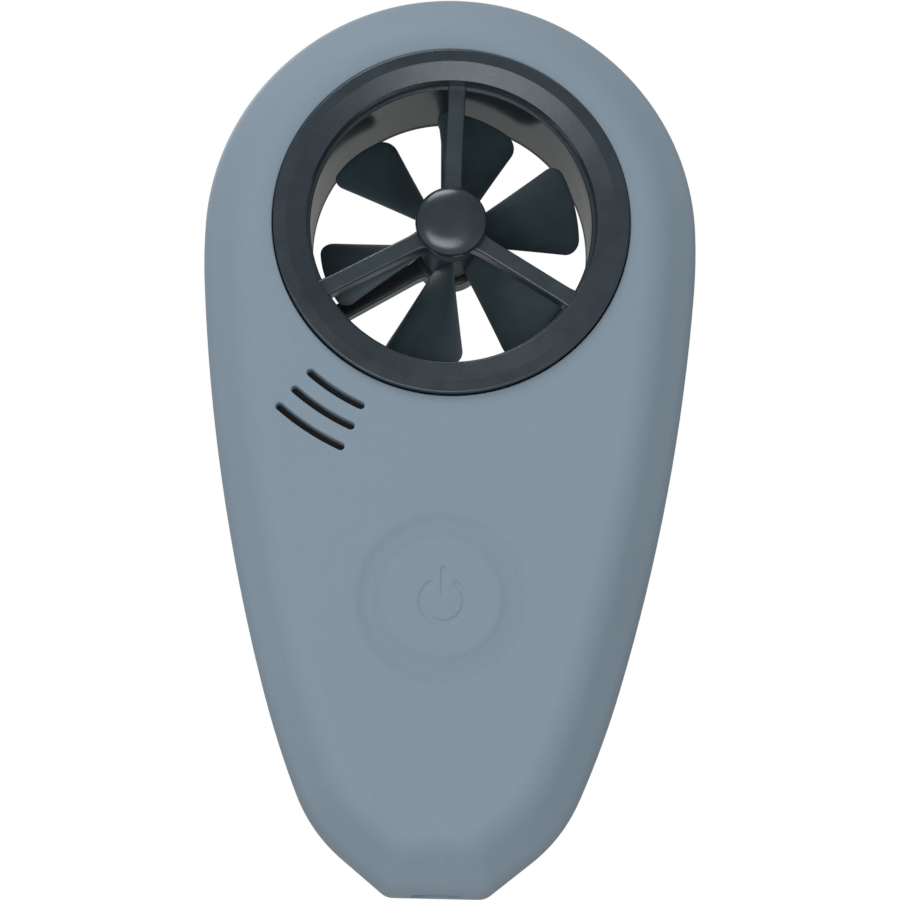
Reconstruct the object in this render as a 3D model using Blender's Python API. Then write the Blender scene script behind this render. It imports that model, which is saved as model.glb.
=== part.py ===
# Handheld vane weather meter: a two-shell body with a through duct, a six blade
# impeller, a push button, a one-cell battery bay and a tripod insert.
# Origin: centre of the foot's underside. +Z runs up the body to the duct,
# -Y is the front face, +X is to the right seen from the front.
# Sizes are in millimetres, turned into metres by make(); angles are in degrees.
import math

import bpy
import bmesh
from mathutils import Vector

for old_object in list(bpy.data.objects):
    bpy.data.objects.remove(old_object, do_unlink=True)

MM = 0.001
ZERO = (0.0, 0.0, 0.0)
FRONT, REAR = -1.0, 1.0          # sign of Y on each side of the parting plane
SIDES = (("front", FRONT), ("rear", REAR))

# --------------------------------------------------------- shared dimensions
# body outline from the crown down one side: (radius, sweep, steps)
BODY_TOP_Z = 123.55
OUTLINE_ARCS = ((33.0, 31.1, 5), (34.2, 56.4, 8), (75.3, 6.4, 2),
                (270.0, 11.9, 4), (127.0, 6.7, 2), (21.5, 28.2, 5))
FOOT_CORNER_R = 2.5
# body section
BODY_HALF_T = 10.3       # parting plane to flat face
SIDE_WALL_H = 3.2        # top of the straight side wall above the parting plane
EDGE_R = 4.0             # lower edge rounding of the bevel
FACE_R = 3.0             # bevel to face rounding
EDGE_INSET = 6.68        # outline to flat face
WALL = 2.0
SPLIT_GAP = 0.2
INNER_FACE_Y = BODY_HALF_T - WALL
MID_WALL_Y = BODY_HALF_T - WALL / 2   # inner features are rooted this deep
OUTSIDE_Y = 12.0                      # cutters start here, clear of the faces
FRONT_CUT = (-OUTSIDE_Y, -7.0)        # span of a cut through the front wall
# duct
DUCT_Z = 90.15
DUCT_CENTRE = (0.0, 0.0, DUCT_Z)
DUCT_SEG = 48
# button
BUTTON_Z = 38.4
BUTTON_CENTRE = (0.0, 0.0, BUTTON_Z)
BUTTON_SEG = 40
EDGE_DROP = 0.5          # button rim below the body face
# sensor slots, concentric with the duct
SLOT_RADII = (28.3, 31.4, 34.5)
# battery door and its hinge
DOOR_HALF_W = 9.0
DOOR_TOP_Z = 62.5
DOOR_GAP = 0.3
HINGE = (0.0, 9.1, 13.7)
# circuit board, and the plane where the parts on its front face end
BOARD_Y = (-5.6, -4.6)
PART_BACK_Y = BOARD_Y[0] - 0.06
# screw places: (x, z)
CASE_SCREWS = ((-22.4, 70.1), (22.4, 70.1), (-13.0, 24.0), (13.0, 24.0))
PCB_SCREWS = ((-17.0, 50.0), (17.0, 50.0), (10.5, 17.2))


# ----------------------------------------------------------------- materials
def material(name, colour, roughness, metallic=0.0):
    mat = bpy.data.materials.new(name)
    mat.use_nodes = True
    shader = mat.node_tree.nodes["Principled BSDF"]
    shader.inputs["Base Color"].default_value = (*colour, 1.0)
    shader.inputs["Roughness"].default_value = roughness
    shader.inputs["Metallic"].default_value = metallic
    mat.diffuse_color = (*colour, 1.0)
    return mat


BODY = material("body_plastic", colour=(0.24, 0.31, 0.35), roughness=0.62)
DOOR = material("door_plastic", colour=(0.22, 0.29, 0.33), roughness=0.60)
BLACK = material("black_plastic", colour=(0.035, 0.04, 0.045), roughness=0.42)
BLADE = material("blade_plastic", colour=(0.02, 0.025, 0.026), roughness=0.45)
RUBBER = material("soft_rubber", colour=(0.24, 0.31, 0.35), roughness=0.75)
SEAL = material("seal_rubber", colour=(0.03, 0.03, 0.03), roughness=0.8)
BRASS = material("brass", colour=(0.72, 0.52, 0.22), roughness=0.32, metallic=1.0)
STEEL = material("steel", colour=(0.55, 0.56, 0.58), roughness=0.3, metallic=1.0)
ZINC = material("zinc_screw", colour=(0.42, 0.43, 0.45), roughness=0.35, metallic=1.0)
BOARD = material("board_laminate", colour=(0.03, 0.20, 0.09), roughness=0.45)
CHIP = material("chip_epoxy", colour=(0.025, 0.025, 0.028), roughness=0.5)
CELL = material("cell_sleeve", colour=(0.13, 0.14, 0.16), roughness=0.35)
HOLDER = material("holder_nylon", colour=(0.06, 0.06, 0.065), roughness=0.55)
FOAM = material("foam", colour=(0.07, 0.07, 0.075), roughness=0.95)
MEMBRANE = material("membrane", colour=(0.78, 0.78, 0.76), roughness=0.9)
FLEX = material("flex_polyimide", colour=(0.50, 0.24, 0.05), roughness=0.4)


# -------------------------------------------------------------- solid makers
def make(name, verts, faces, mat=None, origin=ZERO):
    """Link a mesh object from points in mm, with its origin at the given place."""
    start = Vector(origin)
    mesh = bpy.data.meshes.new(name)
    mesh.from_pydata([((Vector(v) - start) * MM)[:] for v in verts], [], faces)
    bm = bmesh.new()
    bm.from_mesh(mesh)
    bmesh.ops.remove_doubles(bm, verts=bm.verts, dist=1e-7)
    bmesh.ops.recalc_face_normals(bm, faces=bm.faces)
    bm.to_mesh(mesh)
    bm.free()
    ob = bpy.data.objects.new(name, mesh)
    ob.location = start * MM
    if mat is not None:
        mesh.materials.append(mat)
    bpy.context.scene.collection.objects.link(ob)
    return ob


def lofted(name, loops, mat=None, origin=ZERO, closed=False):
    """Skin over equal loops: capped at both ends, or closed round on itself."""
    n = len(loops[0])
    faces = []
    for k in range(len(loops) if closed else len(loops) - 1):
        a, b = k * n, (k + 1) % len(loops) * n
        for i in range(n):
            j = (i + 1) % n
            faces.append((a + i, a + j, b + j, b + i))
    if not closed:
        faces.append(tuple(range(n)))
        faces.append(tuple(range((len(loops) - 1) * n, len(loops) * n)))
    return make(name, [point for loop in loops for point in loop], faces, mat, origin)


def place(axis, centre, u, v, height):
    offset = {"X": (height, u, v), "Y": (u, height, v), "Z": (u, v, height)}[axis]
    return tuple(c + d for c, d in zip(centre, offset))


def turned(name, profile, seg, centre=ZERO, axis="Y", phase=0.0, mat=None, origin=ZERO):
    """Solid of revolution from a closed (radius, height) profile; phase in radians."""
    verts, rows = [], []
    for radius, height in profile:
        if radius < 1e-6:
            rows.append([len(verts)] * seg)
            verts.append(place(axis, centre, 0.0, 0.0, height))
            continue
        rows.append(list(range(len(verts), len(verts) + seg)))
        for i in range(seg):
            a = phase + 2.0 * math.pi * i / seg
            verts.append(place(axis, centre, radius * math.cos(a), radius * math.sin(a), height))
    faces = []
    for low, high in zip(rows, rows[1:] + rows[:1]):
        for i in range(seg):
            j = (i + 1) % seg
            # points on the axis are shared, so quads there become triangles
            face = tuple(dict.fromkeys((low[i], low[j], high[j], high[i])))
            if len(face) >= 3:
                faces.append(face)
    return make(name, verts, faces, mat, origin)


def rod(name, radius, span, seg, centre=ZERO, **options):
    start, end = span
    profile = ((0.0, start), (radius, start), (radius, end), (0.0, end))
    return turned(name, profile, seg, centre, **options)


def ring(name, inner_r, outer_r, span, seg, centre=ZERO, **options):
    start, end = span
    profile = ((inner_r, start), (outer_r, start), (outer_r, end), (inner_r, end))
    return turned(name, profile, seg, centre, **options)


def at_y(points, y):
    return [(x, y, z) for x, z in points]


def plate(name, points, y_span, mat=None, origin=ZERO):
    """Prism along Y from a closed (x, z) polygon."""
    return lofted(name, [at_y(points, y) for y in y_span], mat, origin)


def block(name, x_span, y_span, z_span, mat=None, origin=ZERO):
    (x0, x1), (z0, z1) = x_span, z_span
    return plate(name, ((x0, z0), (x1, z0), (x1, z1), (x0, z1)), y_span, mat, origin)


def seal_band(name, outer, inner, y_span):
    """Flat endless band between two (x, z) outlines."""
    y0, y1 = y_span
    loops = [at_y(outer, y0), at_y(outer, y1), at_y(inner, y1), at_y(inner, y0)]
    return lofted(name, loops, SEAL, closed=True)


def carve(ob, tool, operation="DIFFERENCE"):
    """Boolean with a tool object, baked in, and the tool removed."""
    cut = ob.modifiers.new("cut", "BOOLEAN")
    cut.operation = operation
    cut.solver = "EXACT"
    cut.object = tool
    depsgraph = bpy.context.evaluated_depsgraph_get()
    mesh = bpy.data.meshes.new_from_object(ob.evaluated_get(depsgraph))
    ob.modifiers.clear()
    old_mesh = ob.data
    ob.data = mesh
    bpy.data.meshes.remove(old_mesh)
    mesh.name = ob.name
    bpy.data.objects.remove(tool, do_unlink=True)
    bm = bmesh.new()
    bm.from_mesh(mesh)
    bmesh.ops.remove_doubles(bm, verts=bm.verts, dist=2e-6)
    bmesh.ops.dissolve_degenerate(bm, edges=bm.edges, dist=2e-6)
    bm.to_mesh(mesh)
    bm.free()


def join(ob, tool):
    carve(ob, tool, "UNION")


# ------------------------------------------------------- spans and (x, z) shapes
def about(middle, half):
    return (middle - half, middle + half)


def sided(side, near, far):
    """Ascending Y span between two depths on one side of the parting plane."""
    return sorted((side * near, side * far))


def polar(radius, angle, centre=(0.0, DUCT_Z)):
    a = math.radians(angle)
    return (centre[0] + radius * math.cos(a), centre[1] + radius * math.sin(a))


def arc_points(radius, start, end, steps, centre=(0.0, DUCT_Z)):
    return [polar(radius, start + (end - start) * k / steps, centre) for k in range(steps + 1)]


def soft_rect(x_span, z_span, radius, steps):
    (x0, x1), (z0, z1) = x_span, z_span
    left, right, low, high = x0 + radius, x1 - radius, z0 + radius, z1 - radius
    points = []
    for x, z, start in ((right, low, -90), (right, high, 0), (left, high, 90), (left, low, 180)):
        points += arc_points(radius, start, start + 90.0, steps, (x, z))
    return points


def arc_slot(radius, start, end, width, steps, cap_steps, centre=(0.0, DUCT_Z)):
    """Curved slot with round ends."""
    half = width / 2
    end_cap = arc_points(half, end, end + 180.0, cap_steps, polar(radius, end, centre))
    start_cap = arc_points(half, start + 180.0, start + 360.0, cap_steps,
                           polar(radius, start, centre))
    return (arc_points(radius + half, start, end, steps, centre) + end_cap[1:-1]
            + arc_points(radius - half, end, start, steps, centre) + start_cap[1:-1])


# ------------------------------------------------------------- body outline
def arc_chain(top_z, inset):
    """Tangent arcs from the crown down; returns the points and the final heading."""
    x, z, heading = 0.0, top_z, 0.0
    points = [(x, z)]
    for full_radius, sweep, steps in OUTLINE_ARCS:
        radius, sweep = full_radius - inset, math.radians(sweep)
        centre_x = x - radius * math.sin(heading)
        centre_z = z - radius * math.cos(heading)
        for k in range(1, steps + 1):
            a = heading + sweep * k / steps
            points.append((centre_x + radius * math.sin(a), centre_z + radius * math.cos(a)))
        heading += sweep
        x, z = points[-1]
    return points, heading


def half_outline(inset):
    """Right half, crown to foot centre, moved in by inset."""
    points, heading = arc_chain(BODY_TOP_Z - inset, inset)
    x, z = points[-1]
    dx, dz = math.cos(heading), -math.sin(heading)
    # straight flank down to the foot, its corner rounded
    corner_r = FOOT_CORNER_R + 1.2 * inset
    turn = math.pi - heading
    tangent = corner_r * math.tan(turn / 2)
    corner_x = x + dx * (z - inset) / -dz
    start_x, start_z = corner_x - dx * tangent, inset - dz * tangent
    points.append((start_x, start_z))
    centre_x, centre_z = start_x + dz * corner_r, start_z - dx * corner_r
    for k in range(1, 3):
        a = heading + turn * k / 2
        points.append((centre_x + corner_r * math.sin(a), centre_z + corner_r * math.cos(a)))
    points.append((0.0, inset))
    return points


OUTER_HALF = half_outline(0.0)
INNER_HALF = half_outline(EDGE_INSET)


def right_half(inset):
    """Blend of the body outline and the flat face's outline."""
    blend = inset / EDGE_INSET
    return [(a[0] + (b[0] - a[0]) * blend, a[1] + (b[1] - a[1]) * blend)
            for a, b in zip(OUTER_HALF, INNER_HALF)]


def outline(inset):
    half = right_half(inset)
    return half + [(-x, z) for x, z in reversed(half[1:-1])]


def section(offset):
    """(inset, height) up one side, offset inward by a wall thickness."""
    points = [(offset, SPLIT_GAP), (offset, SIDE_WALL_H)]
    steps = 2 if offset == 0 else 1
    radius = EDGE_R - offset
    for k in range(1, steps + 1):
        a = math.radians(45.0 * k / steps)
        points.append((EDGE_R - radius * math.cos(a), SIDE_WALL_H + radius * math.sin(a)))
    radius = FACE_R - offset
    for k in range(steps + 1):
        a = math.radians(45.0 + 45.0 * k / steps)
        points.append((EDGE_INSET - radius * math.cos(a),
                       BODY_HALF_T - FACE_R + radius * math.sin(a)))
    return points


# ---------------------------------------------------------------- the shells
COLLAR_INNER_R, COLLAR_R = 20.0, 26.2
COUNTERBORE_R = 24.4
LEDGE_R = 21.6
LEDGE_TOP, LEDGE_BOTTOM = 7.4, 6.1
SOCKET_HALF_W, SOCKET_DEPTH = 6.2, 5.9
SOCKET_LIFT = 0.12       # socket boss above the shell's split edge
SOCKET_Z = (0.8, 11.0)
CASE_POST_R, CASE_POST_END = 2.7, 0.5
PCB_POST_R, PCB_POST_END_Y = 1.8, -5.7
# flared dish round the button
BUTTON_HOLE_R = 10.0
DISH_OUTER = (14.08, -11.0)      # (radius, y)
DISH_INNER = (BUTTON_HOLE_R - 0.35, -BODY_HALF_T + EDGE_DROP * 1.03)
SLOT_SWEEP = (-130.6, -113.9)
SLOT_W = 0.95


def shell_cup(name, side):
    loops = [at_y(outline(inset), side * height) for inset, height in reversed(section(0.0))]
    loops += [at_y(outline(inset), side * height) for inset, height in section(WALL)]
    return lofted(name, loops, BODY)


def add_duct_seat(shell, side):
    """Collar, ledge and counterbore that hold one half of the duct."""
    join(shell, ring("tool", COLLAR_INNER_R, COLLAR_R, (side * MID_WALL_Y, side * LEDGE_BOTTOM),
                     DUCT_SEG, DUCT_CENTRE))
    for radius, start, end in ((COUNTERBORE_R, OUTSIDE_Y, LEDGE_TOP), (LEDGE_R, 9.0, 4.0)):
        carve(shell, rod("tool", radius, (side * start, side * end), DUCT_SEG, DUCT_CENTRE))


def add_foot_socket(shell, side):
    """Half of the boss that traps the tripod insert."""
    arc = []
    for angle in range(0, 181, 15):
        a = math.radians(angle)
        arc.append((SOCKET_HALF_W * math.cos(a),
                    side * (SPLIT_GAP + SOCKET_LIFT + SOCKET_DEPTH * math.sin(a))))
    join(shell, lofted("tool", [[(x, y, z) for x, y in arc] for z in SOCKET_Z]))
    carve(shell, rod("tool", 4.5, (1.0, 10.3), 24, axis="Z"))     # insert pocket
    carve(shell, rod("tool", 3.35, (-1.0, 2.0), 24, axis="Z"))    # hole in the foot


def base_shell(name, side):
    shell = shell_cup(name, side)
    add_duct_seat(shell, side)
    add_foot_socket(shell, side)
    for x, z in CASE_SCREWS:
        join(shell, rod("tool", CASE_POST_R, sided(side, CASE_POST_END, MID_WALL_Y), 16,
                        (x, 0, z)))
    return shell


def front_shell():
    shell = base_shell("front_shell", FRONT)
    for x, z in CASE_SCREWS:
        carve(shell, rod("tool", 1.05, (-7.2, 0.5), 12, (x, 0, z)))
    for x, z in PCB_SCREWS:
        join(shell, rod("tool", PCB_POST_R, (-MID_WALL_Y, PCB_POST_END_Y), 16, (x, 0, z)))
        carve(shell, rod("tool", 0.75, (-8.0, -5.0), 12, (x, 0, z)))
    dish = ((0.0, DISH_OUTER[1]), DISH_OUTER, DISH_INNER, (0.0, DISH_INNER[1]))
    carve(shell, turned("tool", dish, BUTTON_SEG, BUTTON_CENTRE))
    carve(shell, rod("tool", BUTTON_HOLE_R, FRONT_CUT, BUTTON_SEG, BUTTON_CENTRE))
    for radius in SLOT_RADII:
        carve(shell, plate("tool", arc_slot(radius, *SLOT_SWEEP, SLOT_W, 5, 3), FRONT_CUT))


def rear_shell():
    shell = base_shell("rear_shell", REAR)
    for x, z in CASE_SCREWS:
        carve(shell, rod("tool", 1.2, (-0.5, OUTSIDE_Y), 12, (x, 0, z)))
        carve(shell, rod("tool", 2.2, (8.5, OUTSIDE_Y), 16, (x, 0, z)))   # head recess
    # battery door: backing plate, door recess, opening, hinge barrel and pin seats
    recess_x = about(0.0, DOOR_HALF_W + DOOR_GAP)
    join(shell, plate("tool", soft_rect((-11.0, 11.0), (11.0, 64.3), 1.2, 4), (7.2, 8.7)))
    carve(shell, block("tool", recess_x, (INNER_FACE_Y, OUTSIDE_Y),
                       (12.2, DOOR_TOP_Z + DOOR_GAP)))
    carve(shell, block("tool", (-7.8, 7.8), (5.0, OUTSIDE_Y), (15.8, 61.2)))
    carve(shell, rod("tool", 1.5, recess_x, 24, HINGE, axis="X"))
    carve(shell, rod("tool", 0.6, (-10.3, 10.3), 16, HINGE, axis="X"))


front_shell()
rear_shell()

shell_gasket = seal_band("shell_gasket", outline(0.5), outline(1.6), (-0.15, 0.15))
carve(shell_gasket, rod("tool", 4.7, (-1.0, 4.0), 32, axis="Z"))


# ------------------------------------------------------------------ the duct
DUCT_HALF_T = 11.0
FLANGE_R = 24.1
RIM_R = 22.35
MOUTH_R = 19.7           # inner edge of the dished rim
MOUTH_H = 10.45
GROOVE_R = 19.98
TUNNEL_R = 19.2
TUBE_R = 21.2
# (radius, depth from the parting plane)
DUCT_PROFILE = (
    (FLANGE_R, 8.0), (FLANGE_R, 10.55), (FLANGE_R - 0.12, 10.86), (FLANGE_R - 0.42, DUCT_HALF_T),
    (RIM_R, DUCT_HALF_T), (MOUTH_R, MOUTH_H), (MOUTH_R - 0.12, 8.75), (GROOVE_R, 8.75),
    (GROOVE_R, 8.3), (TUNNEL_R - 0.1, 8.3), (TUNNEL_R, 7.9), (TUNNEL_R, 0.15),
    (TUBE_R, 0.15), (TUBE_R, 8.0))
# spiders: three struts and a hub in each half
STRUT_W = {FRONT: 2.36, REAR: 2.5}
STRUT_TURN = {FRONT: -1.3, REAR: 1.0}   # the two spiders clock slightly apart
STRUT_ANGLES = (90.0, 210.0, 330.0)
STRUT_REACH = (3.0, 20.4)               # radii of the strut ends
STRUT_NEAR = 5.6                        # depths from the parting plane
STRUT_FAR = 8.55
STRUT_BEVEL = 0.45
NOSE_R = 4.88
REAR_HUB_R = 5.08
# (radius, depth): nose cap on a slimmer neck in front, a plain domed hub behind
HUB_PROFILES = {
    FRONT: ((0.0, STRUT_NEAR), (3.5, STRUT_NEAR), (3.7, 5.9), (3.7, 8.5), (4.6, 8.9),
            (NOSE_R, 9.4), (NOSE_R, 10.2), (4.55, 10.62), (3.5, 10.83), (1.8, 10.95),
            (0.0, 10.98)),
    REAR: ((0.0, STRUT_NEAR), (4.85, STRUT_NEAR), (REAR_HUB_R, 5.9), (REAR_HUB_R, 9.2),
           (4.75, 9.75), (3.8, 10.05), (0.0, 10.2))}
BEARING_R = 0.80         # bore of the bearings and of the impeller


def strut(side, angle):
    a = math.radians(angle + STRUT_TURN[side])
    cos_a, sin_a = math.cos(a), math.sin(a)
    half, root, bevel = STRUT_W[side] / 2, STRUT_NEAR + 0.15, STRUT_BEVEL
    # (across, depth)
    outline_points = ((-half, root), (half, root), (half, STRUT_FAR - bevel),
                      (half - bevel, STRUT_FAR), (-half + bevel, STRUT_FAR),
                      (-half, STRUT_FAR - bevel))
    return lofted("strut_tool", [
        [(radius * cos_a - across * sin_a, side * depth, DUCT_Z + radius * sin_a + across * cos_a)
         for across, depth in outline_points] for radius in STRUT_REACH])


def duct_half(name, side):
    duct = turned(name, [(r, side * depth) for r, depth in DUCT_PROFILE], DUCT_SEG,
                  DUCT_CENTRE, mat=BLACK)
    spider = turned("tool", [(r, side * depth) for r, depth in HUB_PROFILES[side]], 30,
                    DUCT_CENTRE)
    for angle in STRUT_ANGLES:
        join(spider, strut(side, angle))
    join(duct, spider)
    carve(duct, rod("tool", 1.7, (side * 4.0, side * 7.6), 20, DUCT_CENTRE))   # bearing seat
    return duct


ducts = {side: duct_half("duct_" + word, side) for word, side in SIDES}
for word, side in SIDES:
    ring("duct_seal_" + word, 21.9, 24.0, sided(side, 7.45, 7.95), 36, DUCT_CENTRE, mat=SEAL)
    ring(word + "_bearing", BEARING_R, 1.62, sided(side, 5.7, 7.4), 20, DUCT_CENTRE, mat=BRASS)

# ---------------------------------------------------- hall sensor and its ribbon
# both follow the rear strut at the lower left, seen from the front
SENSOR_STRUT = math.radians(STRUT_ANGLES[1] + STRUT_TURN[REAR])
ALONG = (math.cos(SENSOR_STRUT), math.sin(SENSOR_STRUT))
ACROSS = (-math.sin(SENSOR_STRUT), math.cos(SENSOR_STRUT))
FLEX_T = 0.17
FLEX_HALF_W = 0.55
FLEX_STRUT_Y = 5.65      # ribbon's front surface along the strut
FLEX_TUBE_R = 22.28      # ribbon's inner surface beside the tube
FLEX_BOARD_Y = -4.52     # ribbon's front surface at the board


def strut_point(radius, across):
    return (radius * ALONG[0] + across * ACROSS[0],
            DUCT_Z + radius * ALONG[1] + across * ACROSS[1])


def strut_strip(name, radii, half_w, y_span, mat=None):
    inner, outer = radii
    points = [strut_point(radius, across) for radius, across in (
        (inner, -half_w), (outer, -half_w), (outer, half_w), (inner, half_w))]
    return plate(name, points, y_span, mat)


def flex_section(near_r, far_r, y):
    near = at_y([strut_point(near_r, w) for w in (-FLEX_HALF_W, FLEX_HALF_W)], y)
    far = at_y([strut_point(far_r, w) for w in (FLEX_HALF_W, -FLEX_HALF_W)], y + FLEX_T)
    return near + far


carve(ducts[REAR], strut_strip("tool", (1.95, 4.05), 1.1, (4.7, 6.65)))     # sensor pocket
carve(ducts[REAR], strut_strip("tool", (3.3, 22.3), 0.74, (4.9, 6.03)))     # ribbon groove
strut_strip("hall_sensor", (2.1, 3.9), 0.95, (5.9, 6.55), CHIP)

# ribbon: along the strut, forward past the tube, then across to the board
lofted("hall_flex", [
    flex_section(2.2, 2.2, FLEX_STRUT_Y),
    flex_section(FLEX_TUBE_R, FLEX_TUBE_R + FLEX_T, FLEX_STRUT_Y),
    flex_section(FLEX_TUBE_R, FLEX_TUBE_R + FLEX_T, FLEX_BOARD_Y),
    at_y([(-19.4, 66.2), (-18.3, 66.2)], FLEX_BOARD_Y)
    + at_y([(-18.3, 66.2), (-19.4, 66.2)], FLEX_BOARD_Y + FLEX_T)], FLEX)

# -------------------------------------------------------------- the impeller
BLADES = 6
BLADE_ROOT_R = 3.7       # reaches into the hub
BLADE_TIP_R = 18.0
BLADE_PHASE = 17.7
BLADE_HALF_SWEEP = (18.5, 0.8)   # at the root, and its growth to the tip
BLADE_NEAR_Y = -2.4              # front edge
BLADE_FAR_Y = (2.9, 1.7)         # rear edge at the root, and its growth to the tip
BLADE_T = 0.8
BLADE_CAMBER = 0.35
TIP_ROUNDING = 1.5
RADIAL_STEPS, CHORD_STEPS = 5, 6
IMPELLER_HUB_R = 4.1
SHAFT_R = 0.75
# (radius, y)
HUB_PROFILE = (
    (BEARING_R, -4.6), (2.6, -4.6), (3.6, -4.3), (IMPELLER_HUB_R, -3.7), (IMPELLER_HUB_R, 4.3),
    (3.9, 4.6), (3.45, 4.6), (3.45, 2.9), (BEARING_R, 2.9))


def blade_point(middle, out, across):
    """Mid-surface point: out is 0 at the root and 1 at the tip, across is -1 to 1."""
    radius = BLADE_ROOT_R + (BLADE_TIP_R - BLADE_ROOT_R) * out
    radius -= out ** 8 * TIP_ROUNDING * abs(across) ** 6
    # the last rows are pulled in to round the tip corners
    half_sweep = BLADE_HALF_SWEEP[0] + BLADE_HALF_SWEEP[1] * out
    half_sweep *= 1.0 - 0.09 * out ** 10
    far = BLADE_FAR_Y[0] + BLADE_FAR_Y[1] * out
    y = (BLADE_NEAR_Y + far) / 2 - across * (far - BLADE_NEAR_Y) / 2
    y -= BLADE_CAMBER * (1.0 - across * across) * (0.4 + 0.6 * out)
    x, z = polar(radius, middle + across * half_sweep)
    return x, y, z


def blade(middle):
    """Helical blade, thinning toward its front and rear edges."""
    verts = []
    for side in (-1, 1):
        for i in range(RADIAL_STEPS + 1):
            for j in range(CHORD_STEPS + 1):
                across = -1.0 + 2.0 * j / CHORD_STEPS
                x, y, z = blade_point(middle, i / RADIAL_STEPS, across)
                half_t = BLADE_T / 2 * (1.0 - 0.45 * across * across)
                verts.append((x, y + side * half_t, z))
    row, rear = CHORD_STEPS + 1, len(verts) // 2
    faces = []
    for i in range(RADIAL_STEPS):
        for j in range(CHORD_STEPS):
            a = i * row + j
            b, c, d = a + 1, a + row + 1, a + row
            faces.append((a, b, c, d))
            faces.append((rear + a, rear + d, rear + c, rear + b))
    edge = [i * row for i in range(RADIAL_STEPS + 1)]
    edge += [RADIAL_STEPS * row + j for j in range(1, row)]
    edge += [i * row + CHORD_STEPS for i in range(RADIAL_STEPS - 1, -1, -1)]
    edge += list(range(CHORD_STEPS - 1, 0, -1))
    for a, b in zip(edge, edge[1:] + edge[:1]):
        faces.append((a, b, rear + b, rear + a))
    return make("tool", verts, faces)


impeller = turned("impeller", HUB_PROFILE, 30, DUCT_CENTRE, mat=BLADE, origin=DUCT_CENTRE)
for k in range(BLADES):
    join(impeller, blade(BLADE_PHASE + 360.0 / BLADES * k))
rod("impeller_shaft", SHAFT_R, (-7.3, 7.3), 20, DUCT_CENTRE, mat=STEEL, origin=DUCT_CENTRE)
ring("impeller_magnet", 1.2, 3.35, (3.0, 4.5), 28, DUCT_CENTRE, mat=STEEL, origin=DUCT_CENTRE)

# ---------------------------------------------------------------- the button
BUTTON_FLAT_R = 7.9
BUTTON_R = 9.6
BUTTON_FACE_Y = -BODY_HALF_T
SWITCH_FRONT_Y = -6.75
MARK_CUT = (-OUTSIDE_Y, BUTTON_FACE_Y + 0.25)
# cap with an inner flange and a central stem: (radius, y)
BUTTON_PROFILE = (
    (0.0, BUTTON_FACE_Y), (BUTTON_FLAT_R, BUTTON_FACE_Y), (BUTTON_R, BUTTON_FACE_Y + EDGE_DROP),
    (BUTTON_R, -8.0), (10.8, -8.0), (10.8, -7.4), (8.6, -7.4), (8.6, -9.0),
    (1.6, -9.0), (1.6, -7.5), (0.0, -7.5))

power_button = turned("power_button", BUTTON_PROFILE, BUTTON_SEG, BUTTON_CENTRE,
                      mat=RUBBER, origin=BUTTON_CENTRE)
# power mark sunk into the cap: an open ring and a bar
mark_ring = arc_slot(2.9, 125.0, 415.0, 0.8, 14, 3, (0.0, BUTTON_Z - 0.3))
carve(power_button, plate("tool", mark_ring, MARK_CUT))
mark_bar = soft_rect((-0.4, 0.4), (BUTTON_Z + 0.6, BUTTON_Z + 4.2), 0.38, 3)
carve(power_button, plate("tool", mark_bar, MARK_CUT))

tact_switch = block("tact_switch", (-3.0, 3.0), (SWITCH_FRONT_Y, PART_BACK_Y),
                    about(BUTTON_Z, 3.0), STEEL)
carve(tact_switch, rod("tool", 1.2, (-8.0, -6.15), 20, BUTTON_CENTRE))
rod("switch_plunger", 1.0, (-7.4, SWITCH_FRONT_Y), 20, BUTTON_CENTRE, mat=BLADE,
    origin=BUTTON_CENTRE)

# ------------------------------------------------------------- circuit board
BOARD_Z = (13.5, 68.2)
BOARD_INSET = 5.0
BOARD_ARC_R = 28.0       # top edge curves under the duct
BOARD_DRILL = (-7.0, -3.0)
SENSOR_X, SENSOR_Z = polar(SLOT_RADII[1], -122.3)


def board_outline():
    low, high = BOARD_Z
    half = right_half(BOARD_INSET)

    def x_at(level):
        for (x0, z0), (x1, z1) in zip(half, half[1:]):
            # x0 > 3 keeps to the flank, away from the crown and foot centres
            if (z0 - level) * (z1 - level) <= 0 and z0 != z1 and x0 > 3:
                return x0 + (x1 - x0) * (level - z0) / (z1 - z0)

    right = [(x_at(high), high)] + [p for p in half if low < p[1] < high] + [(x_at(low), low)]
    left = [(-x, z) for x, z in reversed(right)]
    end = math.degrees(math.asin((high - DUCT_Z) / BOARD_ARC_R))
    return right + left + arc_points(BOARD_ARC_R, -180.0 - end, end, 12)


main_pcb = plate("main_pcb", board_outline(), BOARD_Y, BOARD)
for places, radius, seg in ((CASE_SCREWS, 3.1, 20), (PCB_SCREWS, 0.85, 12)):
    for x, z in places:
        carve(main_pcb, rod("tool", radius, BOARD_DRILL, seg, (x, 0, z)))

# parts on the board's front face: (name, x span, y span, z span, material)
BOARD_PARTS = (
    ("radio_module", (11.4, 19.4), (-6.35, PART_BACK_Y), (30.0, 42.5), BOARD),
    ("radio_shield", (12.0, 18.8), (-7.7, -6.4), (30.6, 38.6), STEEL),
    ("controller_chip", (-18.6, -12.1), (-6.6, PART_BACK_Y), (33.0, 39.5), CHIP),
    ("humidity_sensor", about(SENSOR_X - 1.0, 0.75), (-6.4, PART_BACK_Y),
     about(SENSOR_Z, 0.75), CHIP),
    ("pressure_sensor", about(SENSOR_X + 1.0, 0.75), (-6.5, PART_BACK_Y),
     about(SENSOR_Z, 0.8), STEEL))
for part in BOARD_PARTS:
    block(*part)
ring("sensor_gasket", 2.55, 3.3, (-7.95, PART_BACK_Y), 28, (SENSOR_X, 0, SENSOR_Z), mat=FOAM)

# membrane behind the sensor slots
plate("vent_membrane",
      arc_points(35.8, -131.8, -111.5, 8) + arc_points(27.3, -111.5, -131.8, 8),
      (-8.25, -8.0), MEMBRANE)

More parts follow.
